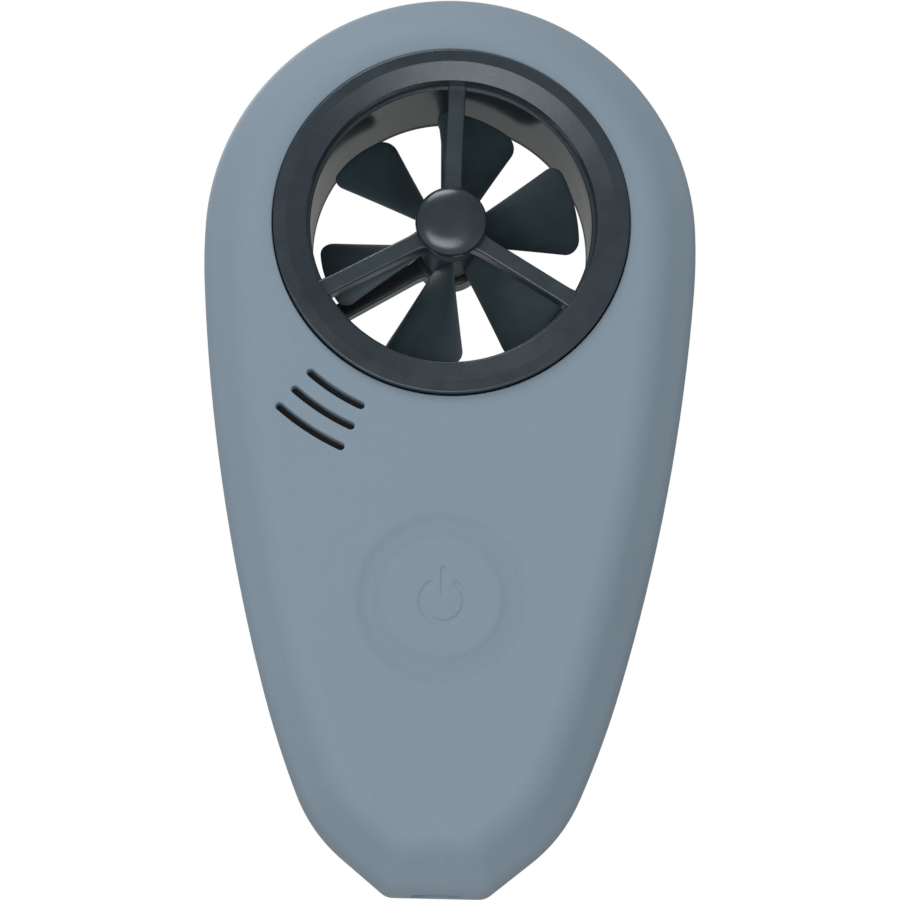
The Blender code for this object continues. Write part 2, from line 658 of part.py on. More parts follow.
# --------------------------------------------------------------- battery bay
CELL_R = 5.25
CELL_Y = 1.75
CELL_Z = (16.2, 60.7)
# (radius, z), with the small terminal at the top
CELL_PROFILE = (
    (0.0, CELL_Z[0]), (4.9, CELL_Z[0]), (CELL_R, CELL_Z[0] + 0.4), (CELL_R, 59.5),
    (4.8, 59.9), (1.9, 59.9), (1.9, CELL_Z[1]), (0.0, CELL_Z[1]))
POCKET_Z = (12.4, 61.6)
NOTCH_H = 0.7            # openings for the contact tails at the pocket's ends
CONTACT_T = 0.3
SPRING_TURNS = 3
SPRING_R = (3.2, 1.7)    # bottom, top
SPRING_Z = (13.15, 15.85)
SPRING_WIRE_R = 0.28
SPRING_STEPS, SPRING_SEG = 10, 5     # per turn, round the wire


def contact(name, z):
    z_span = (z, z + CONTACT_T)
    plate_part = block(name, (-3.6, 3.6), (-2.2, 5.2), z_span, STEEL)
    join(plate_part, block("tool", (-1.0, 1.0), (-4.55, -1.5), z_span))


def battery_spring():
    steps = SPRING_TURNS * SPRING_STEPS
    loops = []
    for k in range(steps + 1):
        done = k / steps
        a = 2 * math.pi * SPRING_TURNS * done
        coil_r = SPRING_R[0] + (SPRING_R[1] - SPRING_R[0]) * done
        coil_z = SPRING_Z[0] + (SPRING_Z[1] - SPRING_Z[0]) * done
        loop = []
        for i in range(SPRING_SEG):
            b = 2 * math.pi * i / SPRING_SEG
            radius = coil_r + SPRING_WIRE_R * math.cos(b)
            loop.append((radius * math.cos(a), CELL_Y + radius * math.sin(a),
                         coil_z + SPRING_WIRE_R * math.sin(b)))
        loops.append(loop)
    lofted("battery_spring", loops, STEEL)


holder = block("battery_holder", (-6.7, 6.7), (-4.4, 7.0), (11.6, 62.4), HOLDER)
carve(holder, block("tool", (-5.65, 5.65), (-3.6, 9.0), POCKET_Z))
for notch_z in ((POCKET_Z[0], POCKET_Z[0] + NOTCH_H), (POCKET_Z[1] - NOTCH_H, POCKET_Z[1])):
    carve(holder, block("tool", (-1.3, 1.3), (-6.0, -3.0), notch_z))
turned("battery_cell", CELL_PROFILE, 28, (0, CELL_Y, 0), axis="Z", mat=CELL)
contact("negative_contact", 12.5)
contact("positive_contact", 61.1)
battery_spring()

# ------------------------------------------------------------- battery door
DOOR_T = 1.4
HINGE_R = 1.2
PIN_R, PIN_REACH = 0.45, 0.9     # stub pins past each side of the door
# finger recess at the free end: (radius, y)
RECESS_PROFILE = ((0.0, 9.6), (3.4, 9.6), (4.2, 11.0), (0.0, 11.0))

door_face = soft_rect(about(0.0, DOOR_HALF_W), (HINGE[2] - 0.6, DOOR_TOP_Z), 0.5, 3)
door = plate("battery_door", door_face, (BODY_HALF_T - DOOR_T, BODY_HALF_T), DOOR, HINGE)
join(door, rod("tool", HINGE_R, about(0.0, DOOR_HALF_W), 24, HINGE, axis="X",
               phase=math.pi / 24))
join(door, rod("tool", PIN_R, about(0.0, DOOR_HALF_W + PIN_REACH), 12, HINGE, axis="X"))
carve(door, turned("tool", RECESS_PROFILE, 24, (0, 0, DOOR_TOP_Z - 2.0)))
block("battery_pad", (-3.5, 3.5), (7.35, 8.85), (26.0, 52.0), FOAM, HINGE)
seal_band("door_seal", soft_rect((-8.95, 8.95), (15.1, 62.4), 0.6, 3),
          soft_rect((-8.1, 8.1), (15.6, 61.6), 0.3, 3), (8.35, 8.8))

# ------------------------------------------------------- insert and fasteners
# blind insert with a waist: (radius, z)
INSERT_PROFILE = (
    (2.6, 1.3), (4.2, 1.3), (4.2, 4.2), (3.8, 4.5), (3.8, 6.3), (4.2, 6.6),
    (4.2, 10.0), (0.0, 10.0), (0.0, 9.0), (2.6, 9.0))
CASE_SCREW = dict(head_y=8.6, head_r=1.9, head_h=1.3, shank_r=0.95, tip_y=-6.2, cross=2.2)
PCB_SCREW = dict(head_y=-4.5, head_r=1.5, head_h=1.0, shank_r=0.65, tip_y=-7.6, cross=1.7)
CROSS_W = 0.32


def screw(name, x, z, head_y, head_r, head_h, shank_r, tip_y, cross):
    """Screw pointing to the front; head_y is under the head, cross is the recess length."""
    profile = ((0.0, head_y + head_h), (head_r * 0.72, head_y + head_h),
               (head_r, head_y + head_h * 0.55), (head_r, head_y), (shank_r, head_y),
               (shank_r, tip_y + 0.6), (0.25, tip_y), (0.0, tip_y))
    body = turned(name, profile, 12, (x, 0, z), mat=ZINC, origin=(x, 0.0, z))
    recess_y = (head_y + head_h * 0.4, head_y + head_h + 1)
    for width, length in ((CROSS_W, cross), (cross, CROSS_W)):
        carve(body, block("tool", about(x, width / 2), recess_y, about(z, length / 2)))


turned("tripod_insert", INSERT_PROFILE, 24, axis="Z", mat=BRASS)
for prefix, places, sizes in (("case", CASE_SCREWS, CASE_SCREW), ("pcb", PCB_SCREWS, PCB_SCREW)):
    for number, (x, z) in enumerate(places, 1):
        screw(f"{prefix}_screw_{number}", x, z, **sizes)
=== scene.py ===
"""Looks of a hand-held meter with a ducted impeller above a power button.

The body stands on its foot at z = 0 with its front facing -Y, its rear facing +Y and the
parting plane at y = 0. Shapes are in millimetres; MM turns them into metres. Numbers inside
materials, lights and the stage are in metres.
"""

import math

import bpy
import bmesh
from mathutils import Matrix, Vector
from mathutils.geometry import delaunay_2d_cdt


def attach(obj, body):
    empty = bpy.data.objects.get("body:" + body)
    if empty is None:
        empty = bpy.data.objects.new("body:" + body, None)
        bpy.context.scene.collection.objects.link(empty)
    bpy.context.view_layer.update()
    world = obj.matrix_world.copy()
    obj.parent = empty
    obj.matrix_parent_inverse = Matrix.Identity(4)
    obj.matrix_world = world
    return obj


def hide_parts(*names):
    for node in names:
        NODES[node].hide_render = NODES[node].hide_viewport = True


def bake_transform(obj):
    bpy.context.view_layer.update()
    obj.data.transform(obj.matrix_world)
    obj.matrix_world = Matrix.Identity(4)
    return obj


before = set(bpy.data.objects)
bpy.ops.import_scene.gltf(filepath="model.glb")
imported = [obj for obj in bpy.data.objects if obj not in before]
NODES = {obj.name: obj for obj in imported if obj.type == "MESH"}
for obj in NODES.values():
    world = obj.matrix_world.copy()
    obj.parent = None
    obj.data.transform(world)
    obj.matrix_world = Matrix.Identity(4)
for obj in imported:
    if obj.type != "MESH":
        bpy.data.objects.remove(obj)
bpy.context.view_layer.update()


MM = 0.001
FRONT, REAR = -1.0, 1.0

# ---------------------------------------------------------------- main dimensions
TOP_Z = 123.55
HALF_T = 10.3                       # parting plane to either flat face
WALL = 2.0
DUCT_Z = 90.15
BUTTON_Z = 38.4
DUCT_CENTRE = (0.0, 0.0, DUCT_Z)
HINGE = (0, 9.1, 13.7)              # centre of the door hinge, which runs along X
CASE_SCREWS = ((-22.4, 70.1), (22.4, 70.1), (-13.0, 24.0), (13.0, 24.0))   # x, z


# ================================================================ node helpers
class Tree:
    """Builds nodes in the cleared node tree of a material or world.

    Wherever a value is taken, it may be a plain value or an output socket.
    """

    def __init__(self, owner):
        owner.use_nodes = True
        self.tree = owner.node_tree
        self.tree.nodes.clear()

    def feed(self, socket, value):
        if isinstance(value, bpy.types.NodeSocket):
            self.tree.links.new(value, socket)
        elif socket.type == "RGBA":
            socket.default_value = (*value, 1.0)
        else:
            socket.default_value = value

    def node(self, kind, inputs=None, **settings):
        node = self.tree.nodes.new(kind)
        for name, value in settings.items():
            setattr(node, name, value)
        for key, value in (inputs or {}).items():
            self.feed(node.inputs[key], value)
        return node

    def calc(self, operation, a, b=0.0):
        return self.node("ShaderNodeMath", {0: a, 1: b}, operation=operation).outputs[0]

    def times(self, a, b):
        return self.calc("MULTIPLY", a, b)

    def remap(self, value, to=(0.0, 1.0), span=(0.0, 1.0), **settings):
        """Map the span of a value on to another, clamped at both ends."""
        inputs = {"From Min": span[0], "From Max": span[1],
                  "To Min": to[0], "To Max": to[1], "Value": value}
        return self.node("ShaderNodeMapRange", inputs, **settings).outputs[0]

    def ramp(self, value, *stops):
        """Colour ramp through (position, colour) stops."""
        node = self.node("ShaderNodeValToRGB", {0: value})
        elements = node.color_ramp.elements
        for element, (position, colour) in ((elements[0], stops[0]), (elements[1], stops[-1])):
            element.position = position
            element.color = (*colour, 1.0)
        for position, colour in stops[1:-1]:
            elements.new(position).color = (*colour, 1.0)
        return node.outputs[0]


class Surface(Tree):
    """A Principled material driven by object coordinates."""

    def __init__(self, name):
        self.material = bpy.data.materials.new(name)
        super().__init__(self.material)
        output = self.node("ShaderNodeOutputMaterial")
        self.shader = self.node("ShaderNodeBsdfPrincipled")
        self.feed(output.inputs[0], self.shader.outputs[0])
        self.coords = self.node("ShaderNodeTexCoord").outputs["Object"]

    def shade(self, inputs):
        for name, value in inputs.items():
            self.feed(self.shader.inputs[name], value)
        return self.material

    def xyz(self):
        return self.node("ShaderNodeSeparateXYZ", {0: self.coords}).outputs

    def mapped(self, **transform):
        inputs = {"Vector": self.coords}
        inputs.update(transform)
        return self.node("ShaderNodeMapping", inputs).outputs[0]

    def noise(self, scale, detail=3.0, rough=0.55, vector=None):
        inputs = {"Scale": scale, "Detail": detail, "Roughness": rough,
                  "Vector": vector or self.coords}
        return self.node("ShaderNodeTexNoise", inputs).outputs["Fac"]

    def cell_distance(self, scale):
        inputs = {"Scale": scale, "Vector": self.coords}
        return self.node("ShaderNodeTexVoronoi", inputs, feature="F1").outputs["Distance"]

    def shades(self, value, rgb, *stops):
        """Colour ramp over one colour, with stops of (position, gain)."""
        return self.ramp(value, *((position, gained(rgb, gain)) for position, gain in stops))

    def mix(self, amount, under, over):
        inputs = {0: amount, 6: under, 7: over}
        return self.node("ShaderNodeMix", inputs, data_type="RGBA").outputs[2]

    def bump(self, height, distance, strength, under=None):
        inputs = {"Strength": strength, "Distance": distance, "Height": height}
        if under is not None:
            inputs["Normal"] = under
        return self.node("ShaderNodeBump", inputs).outputs[0]

    def edges(self, radius, span):
        """Mask of edges, from how far the rounded normal leaves the true one."""
        bevel = self.node("ShaderNodeBevel", {"Radius": radius}, samples=3)
        geometry = self.node("ShaderNodeNewGeometry")
        dot = self.node("ShaderNodeVectorMath",
                        {0: bevel.outputs[0], 1: geometry.outputs["Normal"]},
                        operation="DOT_PRODUCT")
        return self.remap(self.calc("SUBTRACT", 1.0, dot.outputs["Value"]), span=span)

    def radius_from(self, x, z):
        """Distance from an axis along Y through (x, z), in metres."""
        place = self.xyz()
        dx = self.calc("SUBTRACT", place["X"], x)
        dz = self.calc("SUBTRACT", place["Z"], z)
        return self.calc("SQRT", self.calc("ADD", self.times(dx, dx), self.times(dz, dz)))


def gained(rgb, gain):
    return tuple(c * gain for c in rgb)


def linear(*srgb):
    """Linear colour from 0-255 sRGB."""
    scaled = (c / 255.0 for c in srgb)
    return tuple(c / 12.92 if c <= 0.04045 else ((c + 0.055) / 1.055) ** 2.4 for c in scaled)


# ================================================================ materials
DISH_SHADE_RADII = (7.9, 11.5)             # inner and outer radius of the painted shade ring in the button dish, mm
DISH_SHADE_SOFTNESS = 0.5                 # fade to either side of those radii, mm
DISH_SHADE_BACK_Y = -0.0090               # the painted shade ring shows only in front of this


def painted_dish_shade(surface):
    """Mask of the painted shade ring in the dish around the button on the front face."""
    inner, outer = DISH_SHADE_RADII
    radius = surface.radius_from(0.0, BUTTON_Z * MM)
    outside = surface.remap(radius, span=((inner - DISH_SHADE_SOFTNESS) * MM,
                                          (inner + DISH_SHADE_SOFTNESS) * MM))
    inside = surface.remap(radius, to=(1.0, 0.0), span=((outer - DISH_SHADE_SOFTNESS) * MM,
                                                        (outer + DISH_SHADE_SOFTNESS) * MM))
    front = surface.calc("LESS_THAN", surface.xyz()["Y"], DISH_SHADE_BACK_Y)
    return surface.times(surface.times(outside, inside), front)


def soft_touch(name, rgb, ring=False):
    """Matte soft-touch coat: faint cloudy mottling, fine grain, rubbed edges; with ring set,
    painted shade in the dish around the button.
    """
    s = Surface(name)
    clouds = s.noise(38.0, detail=2.0, rough=0.5)
    mottle = s.noise(420.0, detail=4.0, rough=0.6)
    fine = s.noise(4200.0, detail=3.0, rough=0.65)
    base = s.shades(clouds, rgb, (0.3, 0.985), (0.7, 1.015))
    warmer = (rgb[0] * 1.12, rgb[1] * 1.08, rgb[2] * 1.03)
    base = s.mix(s.remap(mottle, to=(0.0, 0.16), span=(0.40, 0.75)), base, warmer)
    base = s.mix(s.remap(fine, to=(0.0, 0.34), span=(0.42, 0.75)), base, gained(rgb, 0.80))
    flecks = s.noise(3300.0, detail=2.0, rough=0.5, vector=s.mapped(Scale=(1.0, 1.0, 1.3)))
    base = s.mix(s.remap(flecks, to=(0.0, 0.28), span=(0.55, 0.80)), base, gained(rgb, 1.22))
    # painted shade: the coat is darkened in a ring over the button dish, where shade falls in
    # the hollow
    if ring:
        base = s.mix(s.times(painted_dish_shade(s), 0.5), base, gained(rgb, 0.90))
    rubbed = s.times(s.edges(radius=0.00035, span=(0.004, 0.08)),
                     s.remap(mottle, to=(0.15, 0.9)))
    base = s.mix(s.times(rubbed, 0.35), base, gained(rgb, 1.45))
    coarse = s.noise(2100.0, detail=3.0, rough=0.65)
    grain = s.calc("ADD", s.times(fine, 0.7), s.times(coarse, 0.6))
    return s.shade({
        "Base Color": base,
        "Roughness": s.remap(mottle, to=(0.53, 0.64)),
        "Specular IOR Level": 0.30,
        "Sheen Weight": 0.08,
        "Sheen Roughness": 0.5,
        "Normal": s.bump(grain, distance=0.00004, strength=0.6),
    })


def moulded(name, rgb, rough, specular, grain=0.00002, dust=0.10, wear=0.3):
    """Dark moulded plastic: fine spark texture, dust specks and paler worn edges."""
    s = Surface(name)
    haze = s.noise(260.0, detail=4.0, rough=0.6)
    fine = s.noise(6400.0, detail=2.0, rough=0.55)
    base = s.shades(haze, rgb, (0.3, 0.84), (0.72, 1.16))
    specks = s.remap(s.noise(3100.0, detail=2.0, rough=0.7), span=(0.66, 0.74))
    base = s.mix(s.times(specks, dust), base, (0.24, 0.26, 0.27))
    if wear:
        worn = s.times(s.edges(radius=0.00022, span=(0.01, 0.14)),
                       s.remap(haze, to=(0.1, 1.0)))
        base = s.mix(s.times(worn, wear), base, tuple(c * 2.6 + 0.01 for c in rgb))
    sparks = s.bump(fine, distance=grain, strength=0.6)
    swell = s.noise(900.0, detail=3.0, rough=0.5)
    return s.shade({
        "Base Color": base,
        "Roughness": s.remap(haze, to=(rough - 0.06, rough + 0.08)),
        "Specular IOR Level": specular,
        "Specular Tint": (0.91, 1.0, 1.03),
        "Normal": s.bump(swell, distance=grain * 1.6, strength=0.35, under=sparks),
    })


def metal(name, rgb, rough, lay, stain):
    """Bare or plated metal; lay stretches the tool marks along one direction."""
    s = Surface(name)
    streak = s.noise(900.0, detail=4.0, rough=0.6, vector=s.mapped(Scale=lay))
    blot = s.noise(350.0, detail=3.0, rough=0.6)
    base = s.shades(streak, rgb, (0.25, 0.80), (0.75, 1.12))
    stained = s.times(s.remap(blot, span=(0.5, 0.75)), stain)
    return s.shade({
        "Base Color": s.mix(stained, base, gained(rgb, 0.45)),
        "Metallic": 1.0,
        "Roughness": s.remap(streak, to=(rough - 0.08, rough + 0.14)),
        "Normal": s.bump(streak, distance=0.00002, strength=0.5),
    })


def rubber(name, rgb):
    s = Surface(name)
    grain = s.noise(1500.0, detail=4.0, rough=0.65)
    return s.shade({
        "Base Color": s.shades(grain, rgb, (0.3, 0.8), (0.75, 1.3)),
        "Roughness": s.remap(grain, to=(0.70, 0.85)),
        "Specular IOR Level": 0.3,
        "Normal": s.bump(grain, distance=0.00004, strength=0.6),
    })


def foam(name, rgb):
    s = Surface(name)
    bubble = s.cell_distance(2600.0)
    return s.shade({
        "Base Color": s.shades(bubble, rgb, (0.0, 0.35), (0.45, 1.0), (0.9, 1.5)),
        "Roughness": 0.95,
        "Specular IOR Level": 0.1,
        "Normal": s.bump(bubble, distance=0.00018, strength=0.8),
    })


def board(name):
    """Green solder mask with raised tracks and bare round pads."""
    s = Surface(name)
    track = s.node("ShaderNodeTexBrick", {
        "Scale": 420.0, "Mortar Size": 0.07, "Brick Width": 0.9, "Row Height": 0.28,
        "Vector": s.mapped(Rotation=(math.pi / 2, 0, 0)),
    }).outputs["Fac"]
    base = s.mix(track, (0.012, 0.085, 0.035), (0.03, 0.16, 0.06))
    pad = s.remap(s.cell_distance(330.0), to=(1.0, 0.0), span=(0.10, 0.13))
    return s.shade({
        "Base Color": s.mix(pad, base, (0.62, 0.55, 0.34)),
        "Metallic": s.times(pad, 0.9),
        "Roughness": s.remap(s.noise(800.0), to=(0.28, 0.45)),
        "Normal": s.bump(s.calc("ADD", track, pad), distance=0.00003, strength=0.5),
    })


def cell_sleeve(name):
    """Dark sleeve with a copper top band, a pale line between and bare metal ends."""
    copper_z, line_z = 0.047, (0.0466, 0.0471)
    end_z = (0.0170, 0.0588)
    s = Surface(name)
    z = s.xyz()["Z"]
    band = s.calc("GREATER_THAN", z, copper_z)
    top = s.calc("GREATER_THAN", z, end_z[1])
    foot = s.calc("LESS_THAN", z, end_z[0])
    cloud = s.noise(700.0, detail=3.0, rough=0.5)
    dark = s.ramp(cloud, (0.3, (0.018, 0.022, 0.028)), (0.7, (0.03, 0.035, 0.042)))
    copper = s.ramp(cloud, (0.3, (0.46, 0.21, 0.09)), (0.7, (0.58, 0.27, 0.11)))
    base = s.mix(band, dark, copper)
    line = s.times(s.calc("GREATER_THAN", z, line_z[0]), s.calc("LESS_THAN", z, line_z[1]))
    base = s.mix(line, base, (0.75, 0.74, 0.70))
    end = s.calc("MAXIMUM", top, foot)
    return s.shade({
        "Base Color": s.mix(end, base, (0.62, 0.62, 0.63)),
        "Metallic": s.calc("MAXIMUM", end, s.times(band, 0.75)),
        "Roughness": s.remap(cloud, to=(0.22, 0.36)),
        "Coat Weight": 0.35,
        "Normal": s.bump(cloud, distance=0.00001, strength=0.3),
    })


def film(name, rgb):
    """Thin sheet with fine diagonal ribbing."""
    s = Surface(name)
    ribs = s.node("ShaderNodeTexWave",
                  {"Scale": 1400.0, "Distortion": 1.5, "Vector": s.coords},
                  wave_type="BANDS", bands_direction="DIAGONAL").outputs["Fac"]
    return s.shade({
        "Base Color": s.shades(ribs, rgb, (0.2, 0.6), (0.8, 1.0)),
        "Roughness": 0.85,
        "Normal": s.bump(ribs, distance=0.00003, strength=0.6),
    })


BODY_RGB = tuple(c * gain for c, gain in zip(linear(134, 151, 165), (1.13, 1.14, 1.14)))
# ring=True gives the body coat painted shade in the dish around the button
SKIN = soft_touch("soft_touch_body", BODY_RGB, ring=True)
SKIN_DARK = soft_touch("soft_touch_door", gained(BODY_RGB, 0.95))
RING = moulded("duct_black", (0.020, 0.031, 0.042), rough=0.27, specular=0.80,
               grain=0.000012, dust=0.05, wear=0.12)
BORE = moulded("duct_bore_black", (0.013, 0.023, 0.026), rough=0.18, specular=0.55,
               grain=0.000004, dust=0.03, wear=0.0)
STRUT = moulded("spider_black", (0.033, 0.049, 0.058), rough=0.23, specular=0.70, dust=0.04)
NOSE = moulded("nose_black", (0.022, 0.034, 0.044), rough=0.21, specular=0.80, dust=0.04)
VANE = moulded("impeller_black", (0.041, 0.066, 0.078), rough=0.46, specular=0.40,
               dust=0.03, wear=0.15)
INSIDE = moulded("inner_plastic", (0.05, 0.055, 0.058), rough=0.55, specular=0.35)
NYLON = moulded("holder_nylon", (0.030, 0.031, 0.033), rough=0.50, specular=0.4)
SEAL = rubber("seal_black", (0.020, 0.020, 0.021))
FOAM = foam("closed_foam", (0.06, 0.06, 0.065))
BRASS = metal("turned_brass", (0.72, 0.50, 0.20), rough=0.28, lay=(1, 1, 9), stain=0.15)
STEEL = metal("bright_steel", (0.60, 0.61, 0.62), rough=0.26, lay=(1, 6, 1), stain=0.10)
SPRING = metal("drawn_wire", (0.55, 0.56, 0.57), rough=0.24, lay=(1, 1, 5), stain=0.12)
ZINC = metal("zinc_plate", (0.46, 0.47, 0.49), rough=0.34, lay=(4, 1, 4), stain=0.25)
MAGNET = metal("sintered_magnet", (0.20, 0.20, 0.21), rough=0.48, lay=(2, 2, 2), stain=0.35)
PCB = board("solder_mask")
CHIP = moulded("chip_epoxy", (0.018, 0.018, 0.020), rough=0.48, specular=0.4, dust=0.02)
CELL = cell_sleeve("cell_sleeve")
FILM = film("vent_film", (0.018, 0.021, 0.023))
FLEX = film("coverlay_ribbon", (0.020, 0.022, 0.024))

CAD_MATERIALS = (
    (SEAL, ("shell_gasket", "duct_seal_front", "duct_seal_rear", "door_seal")),
    (BRASS, ("front_bearing", "rear_bearing", "tripod_insert")),
    (STEEL, ("impeller_shaft", "tact_switch", "radio_shield", "pressure_sensor",
             "negative_contact", "positive_contact")),
    (MAGNET, ("impeller_magnet",)),
    (CHIP, ("hall_sensor", "switch_plunger", "controller_chip", "humidity_sensor")),
    (FLEX, ("hall_flex",)),
    (PCB, ("main_pcb", "radio_module")),
    (FOAM, ("sensor_gasket", "battery_pad")),
    (FILM, ("vent_membrane",)),
    (NYLON, ("battery_holder",)),
    (ZINC, ("pcb_screw_1", "pcb_screw_2", "pcb_screw_3",
            "case_screw_1", "case_screw_2", "case_screw_3", "case_screw_4")),
    (CELL, ("battery_cell",)),
    (SPRING, ("battery_spring",)),
    (SKIN, ("front_shell", "rear_shell", "power_button")),
    (SKIN_DARK, ("battery_door",)),
    (RING, ("duct_front", "duct_rear")),
    (VANE, ("impeller",)),
)
CAD_BEVELS = (                      # CAD piece, bevel width
    ("battery_holder", 0.25), ("radio_shield", 0.2), ("controller_chip", 0.1),
    ("main_pcb", 0.12), ("battery_pad", 0.2), ("tact_switch", 0.12), ("radio_module", 0.1),
    ("door_seal", 0.1), ("negative_contact", 0.06), ("positive_contact", 0.06),
)


def add_bevel(ob, width, segments, angle):
    bevel = ob.modifiers.new("edge", "BEVEL")
    bevel.width = width * MM
    bevel.segments = segments
    bevel.limit_method = "ANGLE"
    bevel.angle_limit = math.radians(angle)


def dress_cad_pieces():
    for material, names in CAD_MATERIALS:
        for name in names:
            ob = NODES[name]
            if not ob.data.materials:
                ob.data.materials.append(material)
            for slot in ob.material_slots:
                slot.material = material
    for name, width in CAD_BEVELS:
        add_bevel(NODES[name], width, segments=2, angle=50)


# ================================================================ mesh helpers
class Solid:
    """Points in millimetres and the faces between them."""

    def __init__(self):
        self.points = []
        self.faces = []

    def loop(self, points):
        start = len(self.points)
        self.points.extend(points)
        return list(range(start, len(self.points)))

    def bridge(self, first, second, closed=True):
        """Faces between two loops; a corner met twice is taken once."""
        count = len(first)
        for i in range(count if closed else count - 1):
            j = (i + 1) % count
            face = tuple(dict.fromkeys((first[i], first[j], second[j], second[i])))
            if len(face) > 2:
                self.faces.append(face)

    def chain(self, loops, closed=True):
        for first, second in zip(loops, loops[1:]):
            self.bridge(first, second, closed)

    def cap(self, loop):
        self.faces.append(tuple(loop))

    def region(self, outer, holes):
        """Triangulate a flat XZ area between an outer loop and hole loops."""
        loops = [outer, *holes]
        indices = [i for loop in loops for i in loop]
        polygons = [[(self.points[i][0], self.points[i][2]) for i in loop] for loop in loops]
        edges = []
        for loop in loops:
            start, count = len(edges), len(loop)
            edges += [(start + k, start + (k + 1) % count) for k in range(count)]
        flat = [Vector(p) for polygon in polygons for p in polygon]
        spots, _, triangles, sources = delaunay_2d_cdt(flat, edges, [], 0, 1e-6)[:4]
        if not all(sources):
            raise RuntimeError("outlines of a flat region cross")
        for triangle in triangles:
            x = sum(spots[t][0] for t in triangle) / 3
            z = sum(spots[t][1] for t in triangle) / 3
            if inside(x, z, polygons[0]) and not any(inside(x, z, p) for p in polygons[1:]):
                self.faces.append(tuple(indices[sources[t][0]] for t in triangle))

    def object(self, name="tool"):
        """Bare mesh object in metres, welded and with normals outward."""
        mesh = bpy.data.meshes.new(name)
        mesh.from_pydata([(x * MM, y * MM, z * MM) for x, y, z in self.points], [], self.faces)
        bm = bmesh.new()
        bm.from_mesh(mesh)
        bmesh.ops.remove_doubles(bm, verts=bm.verts, dist=2e-7)
        bmesh.ops.recalc_face_normals(bm, faces=bm.faces)
        bm.to_mesh(mesh)
        bm.free()
        ob = bpy.data.objects.new(name, mesh)
        bpy.context.scene.collection.objects.link(ob)
        return ob

    def build(self, name, *args, **kwargs):
        """Finished piece; takes the arguments of finish."""
        ob = self.object(name)
        finish(ob, *args, **kwargs)
        return ob


def inside(x, z, polygon):
    """Whether a point lies in a polygon, by counting crossings."""
    within = False
    for (xi, zi), (xj, zj) in zip(polygon, polygon[-1:] + polygon[:-1]):
        if (zi > z) != (zj > z) and x < (xj - xi) * (z - zi) / (zj - zi) + xi:
            within = not within
    return within


def finish(ob, material, rides, slot, replaces=None, angle=38.0, weighted=True, bevel=None):
    """Material, shading and modifiers of a piece, and its place in the frame."""
    mesh = ob.data
    mesh.materials.clear()
    mesh.materials.append(material)
    mesh.shade_smooth()
    mesh.set_sharp_from_angle(angle=math.radians(angle))
    if bevel:
        add_bevel(ob, bevel, segments=3, angle=35)
    if weighted:
        normals = ob.modifiers.new("normals", "WEIGHTED_NORMAL")
        normals.keep_sharp = True
        normals.weight = 80
    if rides:
        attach(ob, rides)
    if replaces:
        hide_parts(replaces)


def carve(ob, solid, operation="DIFFERENCE"):
    """Apply a boolean with a solid and clean up the slivers it leaves."""
    tool = solid.object()
    cut = ob.modifiers.new("cut", "BOOLEAN")
    cut.operation = operation
    cut.solver = "EXACT"
    cut.object = tool
    depsgraph = bpy.context.evaluated_depsgraph_get()
    mesh = bpy.data.meshes.new_from_object(ob.evaluated_get(depsgraph))
    ob.modifiers.remove(cut)
    old = ob.data
    ob.data = mesh
    bpy.data.meshes.remove(old)
    bpy.data.objects.remove(tool, do_unlink=True)
    bm = bmesh.new()
    bm.from_mesh(mesh)
    bmesh.ops.remove_doubles(bm, verts=bm.verts, dist=1.5e-6)
    bmesh.ops.dissolve_degenerate(bm, edges=bm.edges, dist=1.5e-6)
    bm.to_mesh(mesh)
    bm.free()


def turned(profile, segments, axis="Y", centre=(0.0, 0.0, 0.0)):
    """Solid of revolution from a closed profile of (radius, place along the axis)."""
    cx, cy, cz = centre

    def place(u, v, along):
        if axis == "Y":
            return (cx + u, cy + along, cz + v)
        if axis == "Z":
            return (cx + u, cy + v, cz + along)
        return (cx + along, cy + u, cz + v)

    solid = Solid()
    loops = []
    for radius, along in profile:
        if radius < 1e-6:
            loops.append(solid.loop([place(0, 0, along)]) * segments)
        else:
            loops.append(solid.loop([place(radius * math.cos(a), radius * math.sin(a), along)
                                     for a in even(0.0, 2 * math.pi, segments)[:-1]]))
    solid.chain(loops + [loops[0]])
    return solid


def lofted(rows):
    """Solid through rows of points, closed at both ends."""
    solid = Solid()
    loops = [solid.loop(row) for row in rows]
    solid.chain(loops)
    solid.cap(loops[0])
    solid.cap(loops[-1])
    return solid


def rounded(entries, steps=5):
    """Closed profile from (u, v, rounding) corners."""
    places = [Vector(entry[:2]) for entry in entries]
    profile = []
    for i, corner in enumerate(places):
        radius = entries[i][2]
        if radius <= 0:
            profile.append(tuple(corner))
            continue
        back = places[i - 1] - corner
        ahead = places[(i + 1) % len(places)] - corner
        room = min(back.length * 0.48, ahead.length * 0.48)
        back.normalize()
        ahead.normalize()
        half = math.acos(max(-1.0, min(1.0, back.dot(ahead)))) / 2
        setback = min(radius / math.tan(half), room)
        fitted = setback * math.tan(half)
        centre = corner + (back + ahead).normalized() * (fitted / math.sin(half))
        first = corner + back * setback - centre
        last = corner + ahead * setback - centre
        start = math.atan2(first[1], first[0])
        sweep = math.atan2(last[1], last[0]) - start
        sweep = (sweep + math.pi) % (2 * math.pi) - math.pi
        profile += [(centre[0] + fitted * math.cos(a), centre[1] + fitted * math.sin(a))
                    for a in even(start, sweep, steps)]
    return profile


# Flat outlines below are lists of (x, z, normal x, normal z).
def even(start, sweep, count):
    """Evenly spaced values over a sweep, both ends included."""
    return [start + sweep * k / count for k in range(count + 1)]


def arc(cx, cz, radius, angles, facing=1):
    return [(cx + radius * math.cos(a), cz + radius * math.sin(a),
             facing * math.cos(a), facing * math.sin(a)) for a in angles]


def circle(x, z, radius, count):
    return arc(x, z, radius, even(0.0, 2 * math.pi, count)[:-1])


